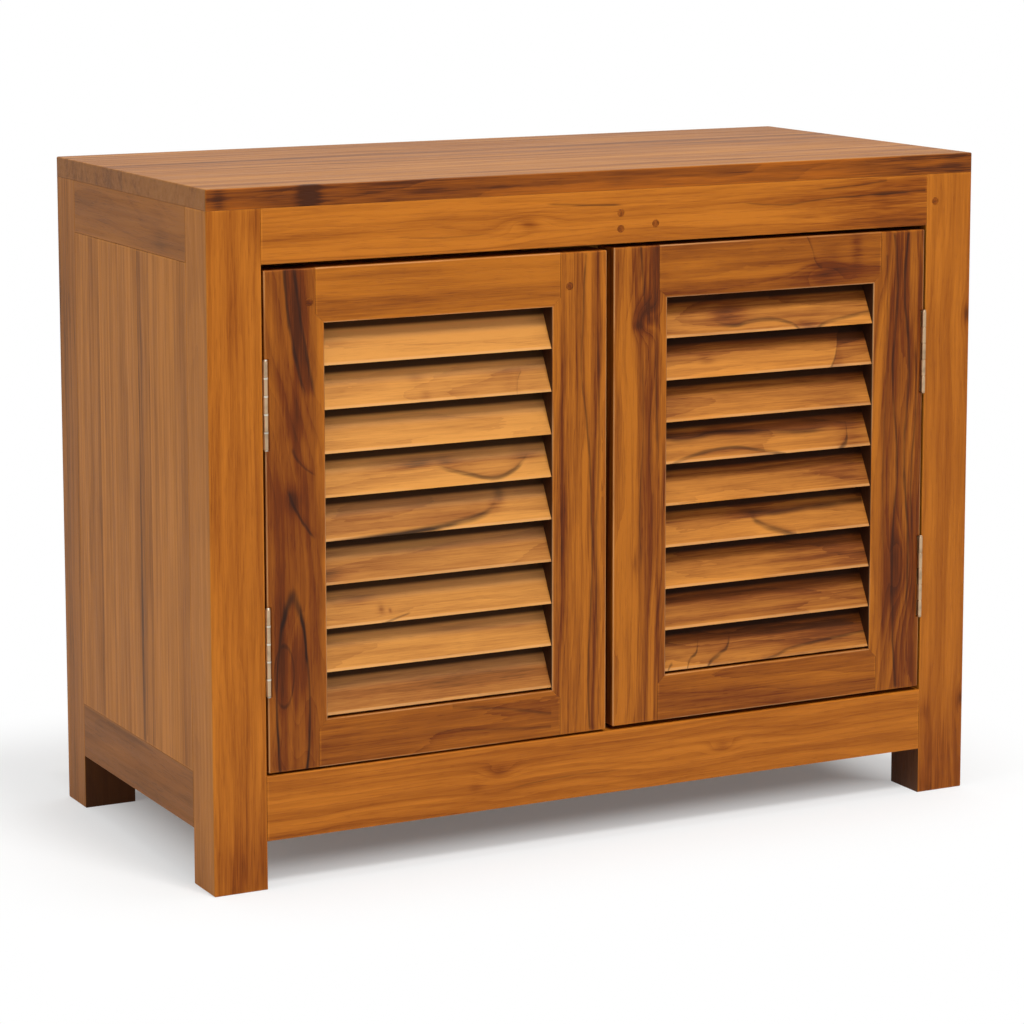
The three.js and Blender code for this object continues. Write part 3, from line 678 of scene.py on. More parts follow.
def teak(name, timber, family, given=None, edges=(), foot=""):
    """Oiled teak, figured as its look says.

    An edge is a direction, the family of tones that the faces looking that way take, and how
    much of the figure they show. The directions of a foot are those in which it looks under
    the cabinet, where it takes a painted shade.
    """
    light, dark = shades_of(family)
    look = drawn_look(name, given or {})
    seed = look["seed"]
    material, finish = new_material(f"{name}_teak")
    offset = finish.vector("SUBTRACT", finish.place(), timber.middle)
    along, across, through = (finish.dot(offset, way) for way in timber.directions)
    flat = finish.joined(along, across, through)

    # A panel's boards are each sawn from another part of the log
    number, change, glue = seams_of(finish, timber, look["boards"], across)
    tone = change + look["tone"]
    sawn = across + number * BOARD_ACROSS
    grain = finish.joined(along + number * BOARD_ALONG, sawn, through)
    fray, streaks, fine, mottle, pores, waver = (
        finish.cloud(grain, lengths, seed + shift, detail)
        for lengths, shift, detail in GRAIN.values()
    )
    pores = finish.between(pores, *PORE_EDGES)
    waver = waver - MEAN

    # Growth rings round a heart that wanders along the board
    lengths, shift, detail = STRAY
    strays = finish.parts(finish.cloud(grain, lengths, seed + shift, detail, "Color"))
    radius = 0.0
    for away, stray, heart, drift in zip((sawn, through), strays, look["pith"], look["drift"]):
        wandering = (stray - MEAN) * (2 * look["wander"] * MM)
        radius = (away - (along * drift + heart * MM) + wandering) ** 2.0 + radius
    radius = radius ** 0.5
    for *where, strength in look["swirls"]:
        radius = finish.hill(flat, timber.mark(*where)) * (strength * MM) + radius
    rings = (radius + (fray - MEAN) * FRAY) / (look["ring"] * MM)
    late = finish.maths("FRACT", rings) ** LATE_POWER
    bands = finish.between(finish.ripple(rings * BANDS_PER_RING + seed), *BAND_EDGES)

    depth = (
        tone
        + (late - LATE_MEAN) * look["rings"]
        + (bands - MEAN) * look["bands"]
        + (streaks - MEAN) * (STREAK * look["streaks"])
        + (fine - MEAN) * (FINE * look["streaks"])
        + (mottle - MEAN) * (CLOUD * look["cloud"])
        + pores * PORE
    )
    broken = fine + waver + (1 - MEAN)
    for *where, strength in look["patches"]:
        depth = finish.hill(flat, timber.mark(*where)) * (broken * strength) + depth

    # The drawn lines come and go along their length
    lines = glue * look["glue"]
    faint = finish.between(streaks + waver * FAINT_WAVER, *FAINT_EDGES) * (1 - FAINTEST) + FAINTEST
    for width, strength, shade, fade, *points in look["veins"]:
        line, beside = vein_of(finish, timber, along, across, waver, width, shade, fade, points)
        lines = finish.most(lines, line * strength * faint)
        depth = beside + depth
    for *where, strength, shade in look["islands"]:
        out = finish.vector("MULTIPLY_ADD", flat, *timber.mark(*where))
        reach = finish.vector("LENGTH", out, output="Value") + waver * ISLAND_WAVER
        shore = 1 - finish.between(abs(reach - 1), *SHORE)
        lines = finish.most(lines, shore * strength * faint)
        depth = finish.between(reach, *ISLAND) * shade + depth

    # A painted shade darkens the outer face of a slat toward its upper edge, which no light reaches
    if timber.lean:
        outer = finish.between(through, *OUTER_FACE)
        depth = finish.between(across, *SLAT_SHADE) * outer * look["shade"] + depth

    # Sawn ends are darker, and the arrises are rubbed paler
    facing = finish.node("ShaderNodeTexCoord", output="Normal")
    ends = finish.between(abs(finish.dot(facing, timber.directions[0])), *END_LOOKING)
    gaps = [half - abs(value) for half, value in zip(timber.half, (along, across, through))]
    nearer, farther = finish.least(gaps[0], gaps[1]), finish.most(gaps[0], gaps[1])
    from_arris = finish.most(nearer, finish.least(farther, gaps[2]))
    wearing = finish.between(mottle, *RUBBED_EDGES)
    rubbed = (1 - finish.between(from_arris, *RUBBED_REACH)) * wearing
    depth = depth + ends * END_GRAIN - rubbed * END_GRAIN

    deep = finish.between(depth, *DEEP)
    body = finish.mixed(finish.clamped(depth), light, dark)
    body = finish.mixed(deep, body, shaded(dark, DEEP_SHADE))
    for axes, other, shown in edges:
        pale, deepest = shades_of(other)
        tinted = finish.mixed(finish.clamped((depth - tone) * shown + tone), pale, deepest)
        tinted = finish.mixed(deep * shown, tinted, shaded(deepest, EDGE_DEEP_SHADE))
        for axis in axes.split():
            toward = finish.between(finish.dot(facing, way_of(axis)), *LOOKING)
            body = finish.mixed(toward, body, tinted)
    # A painted shade darkens the faces of a foot that look under the cabinet, toward the floor
    for direction in foot.split():
        inside = finish.between(finish.dot(facing, way_of(direction)), *LOOKING)
        beneath = finish.between(along, *(height - timber.middle.z for height in FOOT_HEIGHTS))
        body = finish.mixed(inside * beneath * FOOT_SHADE, body, paints().reveal_light)
    if look["worn"]:
        # The long arrises are painted pale in places, both as wear and as a painted highlight where
        # light catches them
        worn = finish.between(finish.most(gaps[1], gaps[2]), *WORN_HIGHLIGHT_REACH) * wearing
        body = finish.mixed(worn * look["worn"], body, paints().worn)
    if timber.lean:
        # A painted sheen makes the upper half of a slat's outer face paler and greyer
        pale = finish.between(across, *SLAT_SHEEN) * outer * look["painted_sheen"]
        body = finish.mixed(pale, body, paints().worn)
        # A painted shadow adds an almost black band to the lines along the top of a slat's outer
        # face, where the slat above shades it
        lines = finish.most(lines, finish.between(across, *SLAT_SHADOW_BAND) * outer * SLAT_SHADOW_DARKNESS)
    relief = streaks * STREAK_RELIEF - pores * PORE_RELIEF - late * RING_RELIEF - glue * GLUE_RELIEF
    finish.surface(relief, WOOD_RELIEF, {
        "Base Color": finish.mixed(lines, body, paints().vein),
        "Roughness": (streaks - MEAN) * STREAK_ROUGH + lines * LINE_ROUGH + WOOD_ROUGH,
        "Specular IOR Level": WOOD_GLOSS,
    })
    return material


# Metals: their colour, their roughness, and how long their fine marks are along each axis
METALS = {
    "plated_hinge": ("hinge", 0.3, (0.6, 0.6, 9.0)),
    "bright_screw": ("steel", 0.26, (0.6, 0.6, 0.6)),
    "steel_plate": ("steel", 0.34, (9.0, 0.6, 0.6)),
}


def metal(name):
    """Plated metal with fine marks along it and a little dull handling."""
    paint, roughness, brushed = METALS[name]
    shade = getattr(paints(), paint)
    material, finish = new_material(name)
    place = finish.place()
    marks = finish.cloud(place, brushed, seed=4.0, detail=2.0)
    dull = finish.cloud(place, DULL_PATCHES, seed=9.0, detail=2.0)
    worn = finish.between(dull, *DULL_EDGES)
    finish.surface(marks, METAL_RELIEF, {
        "Base Color": finish.mixed(worn, shade, shaded(shade, DULL_METAL)),
        "Metallic": 1.0,
        "Roughness": (marks - MEAN) * MARK_ROUGH + dull * DULL_ROUGH + roughness,
    })
    return material


def moulded(name, shade):
    """Moulded plastic with a fine grained skin."""
    material, finish = new_material(name)
    place = finish.place()
    skin = finish.cloud(place, SKIN_GRAINS, seed=2.0, detail=1.0)
    dust = finish.cloud(place, DUST_PATCHES, seed=6.0, detail=2.0)
    dusty = finish.between(dust, *DUST_EDGES)
    finish.surface(skin, SKIN_RELIEF, {
        "Base Color": finish.mixed(dusty, shade, shaded(shade, DUSTY_PLASTIC)),
        "Roughness": (dust - MEAN) * DUST_ROUGH + PLASTIC_ROUGH,
    })
    return material


# Creases sharper than this angle stay sharp, in wood and in metal
WOOD_CREASE, METAL_CREASE = math.radians(40), math.radians(30)
TURNED_SIDES, FINE_SIDES = 32, 40
CORNER_STEPS, ARRIS_STEPS = 5, 3
# Points of a CAD node nearer than this are one
WELD_REACH = 0.001 * MM


def point_at(axis, reading, first, second):
    """The point at a reading along one axis, with its other two values in X, Y, Z order."""
    values = [first, second]
    values.insert("xyz".index(axis), reading)
    return Vector(values)


def new_piece(name, mesh):
    data = bpy.data.meshes.new(name)
    bmesh.ops.recalc_face_normals(mesh, faces=mesh.faces)
    mesh.to_mesh(data)
    mesh.free()
    piece = bpy.data.objects.new(name, data)
    bpy.context.scene.collection.objects.link(piece)
    return piece


def add_prism(mesh, outline, axis, low, high):
    """Adds a closed solid with that outline across an axis, and returns its two rings of points."""
    rings = [[mesh.verts.new(point_at(axis, reading, *point)) for point in outline]
             for reading in (low, high)]
    for ring in rings:
        mesh.faces.new(ring)
    count = len(outline)
    for index in range(count):
        after = (index + 1) % count
        mesh.faces.new((rings[0][index], rings[0][after], rings[1][after], rings[1][index]))
    return rings


def prism(name, outline, axis, low, high):
    mesh = bmesh.new()
    add_prism(mesh, outline, axis, low, high)
    return new_piece(name, mesh)


def turning(name, profile, centre, axis, sides=TURNED_SIDES):
    """A turned solid: radius and height, from one end on its axis to the other."""
    mesh = bmesh.new()
    rings = []
    for radius, height in profile:
        rings.append([])
        for side in range(sides if radius else 1):
            angle = 2 * math.pi * side / sides
            point = point_at(axis, height, radius * math.cos(angle), radius * math.sin(angle))
            rings[-1].append(mesh.verts.new(centre + point))
    for before, after in zip(rings, rings[1:]):
        for side in range(sides):
            beside = (side + 1) % sides
            corners = [before[side % len(before)], before[beside % len(before)],
                       after[beside % len(after)], after[side % len(after)]]
            mesh.faces.new(list(dict.fromkeys(corners)))
    return new_piece(name, mesh)


def rod(axis, centre, radius, half):
    return turning("rod", ((0, -half), (radius, -half), (radius, half), (0, half)), centre, axis)


def plan(low, high):
    """The outline of a box, seen from above."""
    return [(low.x, low.y), (high.x, low.y), (high.x, high.y), (low.x, high.y)]


def block(low, high):
    return prism("block", plan(low, high), "z", low.z, high.z)


def rounded_outline(first_low, first_high, second_low, second_high, radius):
    """A rectangle with round corners."""
    corners = (
        (first_high - radius, second_low + radius, -90),
        (first_high - radius, second_high - radius, 0),
        (first_low + radius, second_high - radius, 90),
        (first_low + radius, second_low + radius, 180),
    )
    points = []
    for first, second, start in corners:
        for step in range(CORNER_STEPS + 1):
            angle = math.radians(start + 90 * step / CORNER_STEPS)
            points.append((first + radius * math.cos(angle), second + radius * math.sin(angle)))
    return points


def settle(piece):
    """Makes what the modifiers show into the piece's own mesh."""
    bpy.context.view_layer.update()
    shown = bpy.context.evaluated_depsgraph_get()
    before = piece.data
    piece.data = bpy.data.meshes.new_from_object(piece.evaluated_get(shown))
    piece.modifiers.clear()
    bpy.data.meshes.remove(before)
    piece.data.name = piece.name


def combine(piece, tools, operation="DIFFERENCE"):
    """Cuts the tools out of a piece, or joins them to it, and removes them."""
    for tool in tools:
        step = piece.modifiers.new("combine", "BOOLEAN")
        step.operation = operation
        step.solver = "EXACT"
        step.object = tool
    settle(piece)
    for tool in tools:
        data = tool.data
        bpy.data.objects.remove(tool)
        bpy.data.meshes.remove(data)


def smooth(piece, crease=METAL_CREASE):
    """Round places are shaded round, and flat ones flat."""
    piece.data.shade_smooth()
    piece.data.set_sharp_from_angle(angle=crease)
    step = piece.modifiers.new("even_shading", "WEIGHTED_NORMAL")
    step.keep_sharp = True


def add_arrises(piece, width, method):
    """Rounds the edges of a piece that the method picks."""
    step = piece.modifiers.new("arrises", "BEVEL")
    step.limit_method = method
    step.width = width
    step.segments = ARRIS_STEPS
    return step


def board(name, outline, axis, low, high, side_arrises, end_arrises, cutters=()):
    """A board whose outline is drawn across an axis.

    An edge takes the finer of its two faces' arrises.
    """
    mesh = bmesh.new()
    rings = add_prism(mesh, outline, axis, low, high)
    widest = max(*side_arrises, *end_arrises)
    weight = mesh.edges.layers.float.new("bevel_weight_edge")
    count = len(outline)
    for index in range(count):
        after = (index + 1) % count
        for ring, end in zip(rings, end_arrises):
            edge = mesh.edges.get((ring[index], ring[after]))
            edge[weight] = min(side_arrises[index], end) / widest
        corner = mesh.edges.get((rings[0][after], rings[1][after]))
        corner[weight] = min(side_arrises[index], side_arrises[after]) / widest
    piece = new_piece(name, mesh)
    add_arrises(piece, widest, "WEIGHT").use_clamp_overlap = False
    settle(piece)
    if cutters:
        combine(piece, cutters)
    smooth(piece, WOOD_CREASE)
    return piece


def finished(piece, body, slot, material, *nodes):
    """Gives a piece its material and its body, and lets it stand for the nodes."""
    piece.data.materials.clear()
    piece.data.materials.append(material)
    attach(piece, body)
    if nodes:
        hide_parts(*nodes)


# Wood pegs and plugs: the node they are in, how far right and down on its face
PEGS = {
    "front_apron": ((341, 20), (341, 34), (376, 31)),
    "front_right_post": ((9, 25),),
    "left_door_hinge_stile": ((41.5, 28.5),),
    "left_door_meeting_stile": ((17.0, 29.5),),
}
PEG_HOLE, PEG_FOOT, PEG_EASING, PEG_CROWN = 3 * MM, 2.9 * MM, 0.25 * MM, 0.02 * MM
PEG_LOOK = {"tone": 0.62, "ring": 1.6, "wander": 1.0}


def peg_places(node, low, high):
    return [Vector((low.x + right * MM, low.y, high.z - down * MM))
            for right, down in PEGS.get(node, ())]


def peg_holes(node, low, high):
    radius = sizes().peg_diameter / 2 + sizes().peg_gap
    return [rod("y", place, radius, PEG_HOLE) for place in peg_places(node, low, high)]


def make_pegs(node, low, high, body, slot, family):
    """The ends of the pegs in a board, with their own end grain."""
    radius = sizes().peg_diameter / 2
    profile = ((0, PEG_FOOT), (radius, PEG_FOOT), (radius, PEG_EASING),
               (radius - PEG_EASING, PEG_CROWN), (0, 0))
    for number, place in enumerate(peg_places(node, low, high), 1):
        name = f"{node}_peg_{number}"
        piece = turning(name, profile, place, "y")
        smooth(piece, WOOD_CREASE)
        reach = Vector((radius, radius, radius))
        timber = Timber(place - reach, place + reach, "y")
        finished(piece, body, slot, teak(name, timber, family, PEG_LOOK))


FACES = ("-y", "+x", "+y", "-x", "-z", "+z")


def carcass_board(node, low, high, grain, family, view="front", joined="", eased="", edges=(),
                  foot=""):
    """A square board of the carcass.

    The faces named as joined or eased have finer arrises round them.
    """
    kinds = ["joint" if face in joined else "eased" if face in eased else "open" for face in FACES]
    *around, below, above = (getattr(sizes(), f"{kind}_arris") for kind in kinds)
    piece = board(f"{node}_wood", plan(low, high), "z", low.z, high.z, around, (below, above),
                  peg_holes(node, low, high))
    slot = f"{family}_wood"
    material = teak(node, Timber(low, high, grain, view), family, edges=edges, foot=foot)
    finished(piece, "carcass", slot, material, node)
    make_pegs(node, low, high, "carcass", slot, family)


def between_posts(node, axes):
    """A node's box, cut back along those axes to just inside the posts, or the side rails."""
    near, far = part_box("front_left_post")[1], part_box("back_right_post")[0]
    near.z, far.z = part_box("left_bottom_rail")[1].z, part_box("left_top_rail")[0].z
    low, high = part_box(node)
    for axis in axes:
        way = "xyz".index(axis)
        low[way] = near[way] + sizes().glue_line
        high[way] = far[way] - sizes().glue_line
    return low, high


# The camera's place, and how far it is turned right, tilted down and rolled, in degrees
CAMERA_PLACE = (-1.4389, -2.7705, 0.8681)
CAMERA_ANGLES = (27.3501, 8.18, -0.0597)
SENSOR_WIDTH = 36.0
# The optical axis meets the picture this share of its height above the middle
CAMERA_SHIFT = -162 / 1024
# Each lamp: where it stands, and its width
LAMPS = {
    "key": ((0.05, -1.85, 2.9), 0.85),
    "top": ((0.2, 0.2, 3.2), 2.6),
    "fill": ((-3.2, -0.6, 1.6), 2.2),
}
LAMP_TARGET = (0, 0, 0.3)
FLOOR_RADIUS, FLOOR_SIDES = 14.0, 96
# How far the floor's painted shadow reaches beyond the cabinet, before and behind it along each
# axis
PAINTED_SHADE_MARGINS = ((0.02, 0.0), (0.0, 0.12))
# Distances outside the cabinet over which the floor's painted shadow turns from dark to pale, and
# to white
PAINTED_SHADOW_EDGES, WHITE_EDGES = (-0.095, -0.015), (0.0, 0.2)
# How white it is between the two
EDGE_WHITE = 0.5


def seen_rays(finish):
    """One for rays from the camera, and for those that a glossy or clear surface passes on."""
    path = finish.node("ShaderNodeLightPath", output="Is Camera Ray")
    outputs = path.socket.node.outputs
    for name in ("Is Glossy Ray", "Is Transmission Ray"):
        path = finish.most(path, Value(finish, outputs[name]))
    return path


class CABINET_OT_stage(bpy.types.Operator):
    """Makes the camera, the lamps, the floor and the surround"""

    bl_idname = "cabinet.stage"
    bl_label = "Studio"

    def execute(self, context):
        scene = context.scene
        scene.view_settings.view_transform = "Standard"
        studio = scene.cabinet_studio
        self.add_camera(scene, studio)
        for name, (place, width) in LAMPS.items():
            lamp = bpy.data.lights.new(f"{name}_lamp", "AREA")
            lamp.shape = "DISK"
            lamp.size = width
            lamp.energy = getattr(studio, f"{name}_power")
            self.stand(scene, lamp, place, Vector(LAMP_TARGET) - Vector(place))
        self.add_surround(scene, studio)
        self.add_floor(studio)
        return {"FINISHED"}

    def stand(self, scene, data, place, ahead, roll=0.0):
        """Sets up a camera or a lamp that looks ahead."""
        holder = bpy.data.objects.new(data.name, data)
        scene.collection.objects.link(holder)
        holder.location = place
        holder.rotation_mode = "QUATERNION"
        rolled = Matrix.Rotation(roll, 3, "Z").to_quaternion()
        holder.rotation_quaternion = ahead.to_track_quat("-Z", "Y") @ rolled
        return holder

    def add_camera(self, scene, studio):
        turn, tilt, roll = (math.radians(angle) for angle in CAMERA_ANGLES)
        level = math.cos(tilt)
        ahead = Vector((math.sin(turn) * level, math.cos(turn) * level, -math.sin(tilt)))
        data = bpy.data.cameras.new("camera")
        data.lens = studio.lens
        data.sensor_width = SENSOR_WIDTH
        data.shift_y = CAMERA_SHIFT
        scene.camera = self.stand(scene, data, CAMERA_PLACE, ahead, roll)

    def add_surround(self, scene, studio):
        world = bpy.data.worlds.new("surround")
        finish = Finish(world)
        scene.world = world
        strength = seen_rays(finish) * (1 - studio.surround) + studio.surround
        background = finish.node("ShaderNodeBackground",
                                 inputs={"Color": WHITE, "Strength": strength})
        finish.node("ShaderNodeOutputWorld", inputs={"Surface": background})

    def add_floor(self, studio):
        mesh = bmesh.new()
        bmesh.ops.create_circle(mesh, cap_ends=True, segments=FLOOR_SIDES, radius=FLOOR_RADIUS)
        floor = new_piece("studio_floor", mesh)
        material, finish = new_material("studio_floor")
        place = finish.place()
        grit = finish.cloud(place, FLOOR_PATCHES, seed=1.0, detail=2.0)
        # Under the cabinet and behind it the floor shows its real shadow, deepened by a painted
        # shadow that fades outward, and it turns white farther out
        outside = -1.0
        for reading, low, high, margins in zip(finish.parts(place), *cad_box, PAINTED_SHADE_MARGINS):
            start, end = low - margins[0], high + margins[1]
            outside = finish.most(abs(reading - (start + end) / 2) - (end - start) / 2, outside)
        glow = studio.floor_glow
        under = finish.between(outside, *PAINTED_SHADOW_EDGES) * (EDGE_WHITE - glow) + glow
        part = finish.between(outside, *WHITE_EDGES) * (1 - EDGE_WHITE) + under
        lit = finish.node("ShaderNodeBsdfPrincipled", inputs={
            "Base Color": (*paints().floor, 1.0),
            "Roughness": (grit - MEAN) * GRIT_ROUGH + FLOOR_ROUGH,
            "Specular IOR Level": FLOOR_GLOSS,
        })
        white = finish.node("ShaderNodeEmission", inputs={"Color": WHITE, "Strength": 1.0})
        seen = seen_rays(finish) * part
        blend = finish.node("ShaderNodeMixShader", inputs={0: seen, 1: lit, 2: white})
        finish.node("ShaderNodeOutputMaterial", inputs={"Surface": blend})
        floor.data.materials.append(material)


class CABINET_OT_top(bpy.types.Operator):
    """Makes the edge-glued top board"""

    bl_idname = "cabinet.top"
    bl_label = "Top board"

    def execute(self, context):
        node = "top_board"
        edges = (("-y +y", "edge", 0.8), ("-x +x", "end", 0.3))
        carcass_board(node, *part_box(node), "x", "top", "top", joined="-z", edges=edges)
        return {"FINISHED"}


class CABINET_OT_posts(bpy.types.Operator):
    """Makes the four corner posts, which are also the feet"""

    bl_idname = "cabinet.posts"
    bl_label = "Posts"

    def execute(self, context):
        for side, inner in (("left", "+x"), ("right", "-x")):
            for row, inward, family in (("front", "+y", "front"), ("back", "-y", "side")):
                node = f"{row}_{side}_post"
                inside = f"{inner} {inward}"
                # The inner faces of each foot take a painted shade under the cabinet
                carcass_board(node, *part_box(node), "z", family, joined="+z", eased=inside,
                              edges=(("-x +x", "side", 1.0),), foot=inside)
        return {"FINISHED"}


class CABINET_OT_rails(bpy.types.Operator):
    """Makes the rails of the carcass, the apron among them"""

    bl_idname = "cabinet.rails"
    bl_label = "Rails and apron"

    def execute(self, context):
        for node, family, above in (
            ("front_apron", "front", "+z"), ("front_bottom_rail", "front", ""),
            ("back_top_rail", "side", "+z"), ("back_bottom_rail", "side", ""),
        ):
            carcass_board(node, *between_posts(node, "x"), "x", family, joined=f"+x -x {above}")
        for side in SIDES:
            for row, below in (("top", "-z"), ("bottom", "")):
                node = f"{side}_{row}_rail"
                carcass_board(node, *between_posts(node, "y"), "y", "side", "side",
                              joined="+y -y +z", eased=below)
        return {"FINISHED"}


class CABINET_OT_panels(bpy.types.Operator):
    """Makes the edge-glued panels of the sides and the back"""

    bl_idname = "cabinet.panels"
    bl_label = "Panels"

    def execute(self, context):
        for node, axes, view, joined in (
            ("left_side_panel", "yz", "side", "+y -y +z -z"),
            ("right_side_panel", "yz", "side", "+y -y +z -z"),
            ("back_panel", "xz", "front", "+x -x +z -z"),
        ):
            carcass_board(node, *between_posts(node, axes), "z", "side", view, joined)
        return {"FINISHED"}


def dress_node(node, material, arris):
    """A CAD node keeps its shape, with its arrises taken off and a better material."""
    piece = frame["nodes"][node]
    piece.modifiers.new("weld", "WELD").merge_threshold = WELD_REACH
    step = add_arrises(piece, arris, "ANGLE")
    step.angle_limit = METAL_CREASE
    step.use_clamp_overlap = True
    piece.modifiers.new("even_shading", "WEIGHTED_NORMAL").keep_sharp = False
    for polygon in piece.data.polygons:
        polygon.use_smooth = True
    while len(piece.material_slots) > 1:
        piece.data.materials.pop()
    piece.material_slots[0].material = material


class CABINET_OT_interior(bpy.types.Operator):
    """Dresses the floor, the shelf and the block that carries the catch"""

    bl_idname = "cabinet.interior"
    bl_label = "Shelf and floor"

    def execute(self, context):
        for node, view in (("floor_board", "top"), ("shelf", "top"), ("catch_block", "front")):
            timber = Timber(*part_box(node), "x", view)
            dress_node(node, teak(node, timber, "inner"), sizes().eased_arris)
        return {"FINISHED"}


def hinge_places(side):
    """The middle of each hinge of a door, on its axis."""
    name = f"{side}_door_hinge"
    axis = next(joint["pos_m"] for joint in frame["joints"] if joint["name"] == name)
    for height in ("upper", "lower"):
        low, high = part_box(f"{side}_{height}_hinge_frame_leaf")
        yield height, Vector((axis[0], axis[1], (low.z + high.z) / 2))


# Room for a hinge in the edge of a door
RECESS_PLAY, RECESS_BEYOND, RECESS_LEAF = 0.3 * MM, 2.0 * MM, 2.2 * MM
RECESS_BARREL, RECESS_BACK, RECESS_HALF = 3.7 * MM, 2.4 * MM, 38.7 * MM
# The door frames' long arrises take wear and a painted highlight
FRAME_LOOK = {"worn": 0.36}


def door_board(side, node, outline, arrises, timber, cutters=(), edges=()):
    """A stile or rail of a door, drawn on the face of the door."""
    low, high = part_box(node)
    plain = sizes().open_arris
    holes = [*peg_holes(node, low, high), *cutters]
    piece = board(f"{node}_wood", outline, "y", low.y, high.y, arrises, (plain, plain), holes)
    material = teak(node, timber, "frame", FRAME_LOOK, edges)
    finished(piece, f"{side}_door", "door_wood", material, node)
    make_pegs(node, low, high, f"{side}_door", "door_wood", "frame")


class CABINET_OT_door_frames(bpy.types.Operator):
    """Makes the stiles and rails of both doors, with a mitred strip round the louvres"""

    bl_idname = "cabinet.door_frames"
    bl_label = "Door frames"

    def execute(self, context):
        fine, plain = sizes().joint_arris, sizes().open_arris
        for side, sign in SIDES.items():
            self.make_stiles(side, sign, sizes().mitred_strip, fine, plain)
            self.make_rails(side, sizes().mitred_strip, fine, plain)
        return {"FINISHED"}

    def make_stiles(self, side, sign, strip, fine, plain):
        louvre_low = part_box(f"{side}_door_bottom_rail")[1].z
        louvre_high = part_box(f"{side}_door_top_rail")[0].z
        for part, outward in (("hinge", sign), ("meeting", -sign)):
            node = f"{side}_door_{part}_stile"
            low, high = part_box(node)
            edge, louvre = (low.x, high.x) if outward < 0 else (high.x, low.x)
            joint = louvre + outward * strip
            outline = [
                (edge, low.z), (joint, low.z), (joint, louvre_low - strip),
                (louvre, louvre_low), (louvre, louvre_high),
                (joint, louvre_high + strip), (joint, high.z), (edge, high.z),
            ]
            arrises = [plain, fine, fine, plain, fine, fine, plain, plain]
            cutters = self.recess_cutters(side, sign) if part == "hinge" else ()
            # The face toward the louvres takes the dark colours of a painted shade
            edges = (("-x" if outward > 0 else "+x", "reveal", 0.5),)
            door_board(side, node, outline, arrises, Timber(low, high, "z"), cutters, edges)

    def recess_cutters(self, side, sign):
        """The room for a hinge: a shallow recess for its leaf, and a deeper one for its barrel."""
        cutters = []
        for height, middle in hinge_places(side):
            low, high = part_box(f"{side}_{height}_hinge_door_leaf")
            for depth, back, below, above in (
                (RECESS_LEAF, high.y + RECESS_PLAY, low.z - RECESS_PLAY, high.z + RECESS_PLAY),
                (RECESS_BARREL, middle.y + RECESS_BACK,
                 middle.z - RECESS_HALF, middle.z + RECESS_HALF),
            ):
                near, far = sorted((middle.x + sign * RECESS_BEYOND, middle.x - sign * depth))
                cutters.append(block(
                    Vector((near, middle.y - RECESS_BEYOND, below)), Vector((far, back, above)),
                ))
        return cutters

    def make_rails(self, side, strip, fine, plain):
        glue = sizes().glue_line
        stiles = [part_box(f"{side}_door_{part}_stile") for part in ("hinge", "meeting")]
        left, right = sorted(stiles, key=lambda box: box[0].x)
        louvre_left, louvre_right = left[1].x + glue, right[0].x - glue
        joint_left, joint_right = louvre_left - strip, louvre_right + strip
        for part, up in (("top", 1), ("bottom", -1)):
            node = f"{side}_door_{part}_rail"
            low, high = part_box(node)
            edge, louvre = (high.z, low.z) if up > 0 else (low.z, high.z)
            border = louvre + up * strip
            outline = [
                (joint_left, edge), (joint_left, border), (louvre_left, louvre),
                (louvre_right, louvre), (joint_right, border), (joint_right, edge),
            ]
            low.x, high.x = joint_left, joint_right
            arrises = [fine, fine, plain, fine, fine, plain]
            door_board(side, node, outline, arrises, Timber(low, high, "x"))


# The family of each door's slats, and what their looks share
SLAT_LOOKS = {
    "left": ("slat", {"worn": 0.35, "shade": 0.03, "painted_sheen": 0.22}),
    "right": ("right_slat", {"worn": 0.35, "shade": 0.44}),
}


class CABINET_OT_slats(bpy.types.Operator):
    """Dresses the nine fixed louvre slats of each door"""

    bl_idname = "cabinet.slats"
    bl_label = "Louvre slats"

    def execute(self, context):
        for side, (family, given) in SLAT_LOOKS.items():
            for number in range(1, SLATS + 1):
                node = f"{side}_door_slat_{number}"
                timber = Timber(*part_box(node), "x", lean=SLAT_LEAN)
                dress_node(node, teak(node, timber, family, given), sizes().slat_arris)
        return {"FINISHED"}


# A hinge: its half length, the barrel, the leaves and their knuckles
HINGE_HALF = 37.5 * MM
BARREL_RADIUS, PIN_BORE, BORE_HALF = 2.1 * MM, 1.2 * MM, 40 * MM
LEAF_THICKNESS, LEAF_START, LEAF_END, LEAF_CORNER = 1.2 * MM, 2.4 * MM, 20.4 * MM, 1.6 * MM
NECK_END, KNUCKLE_EASING = 3.6 * MM, 0.25 * MM
# Its screws: how far off the leaf's middle and up it they are, their seats and their heads
SCREW_STAGGER, SCREW_RISE = 3.4 * MM, 0.72
SEAT_DEPTH, HEAD_PLAY, HEAD_PROUD = 1.0 * MM, 0.25 * MM, 0.05 * MM
HEAD_EDGE, HEAD_SUNK, HEAD_FLAT = 0.1 * MM, 0.85 * MM, 0.7
CROSS_REACH, CROSS_DEPTH, CROSS_HALF = 0.55, 0.5 * MM, 0.35 * MM
# Its pin: the pin, its rings or plain collars, and its heads
PIN_RADIUS, RING_RADIUS, COLLAR_RADIUS, RING_PLAY = 1.0 * MM, 2.1 * MM, 1.5 * MM, 0.05 * MM
HEAD_RADIUS, HEAD_START, HEAD_TOP, HEAD_ROUND = 1.7 * MM, 37.8 * MM, 38.7 * MM, 0.4 * MM


def screw(name, profile, seat, axis, arms, body, slot, material):
    """The head of a sunk screw, with a slot for each arm."""
    piece = turning(name, profile, seat, axis)
    combine(piece, [block(seat - arm, seat + arm) for arm in arms])
    smooth(piece)
    finished(piece, body, slot, material)


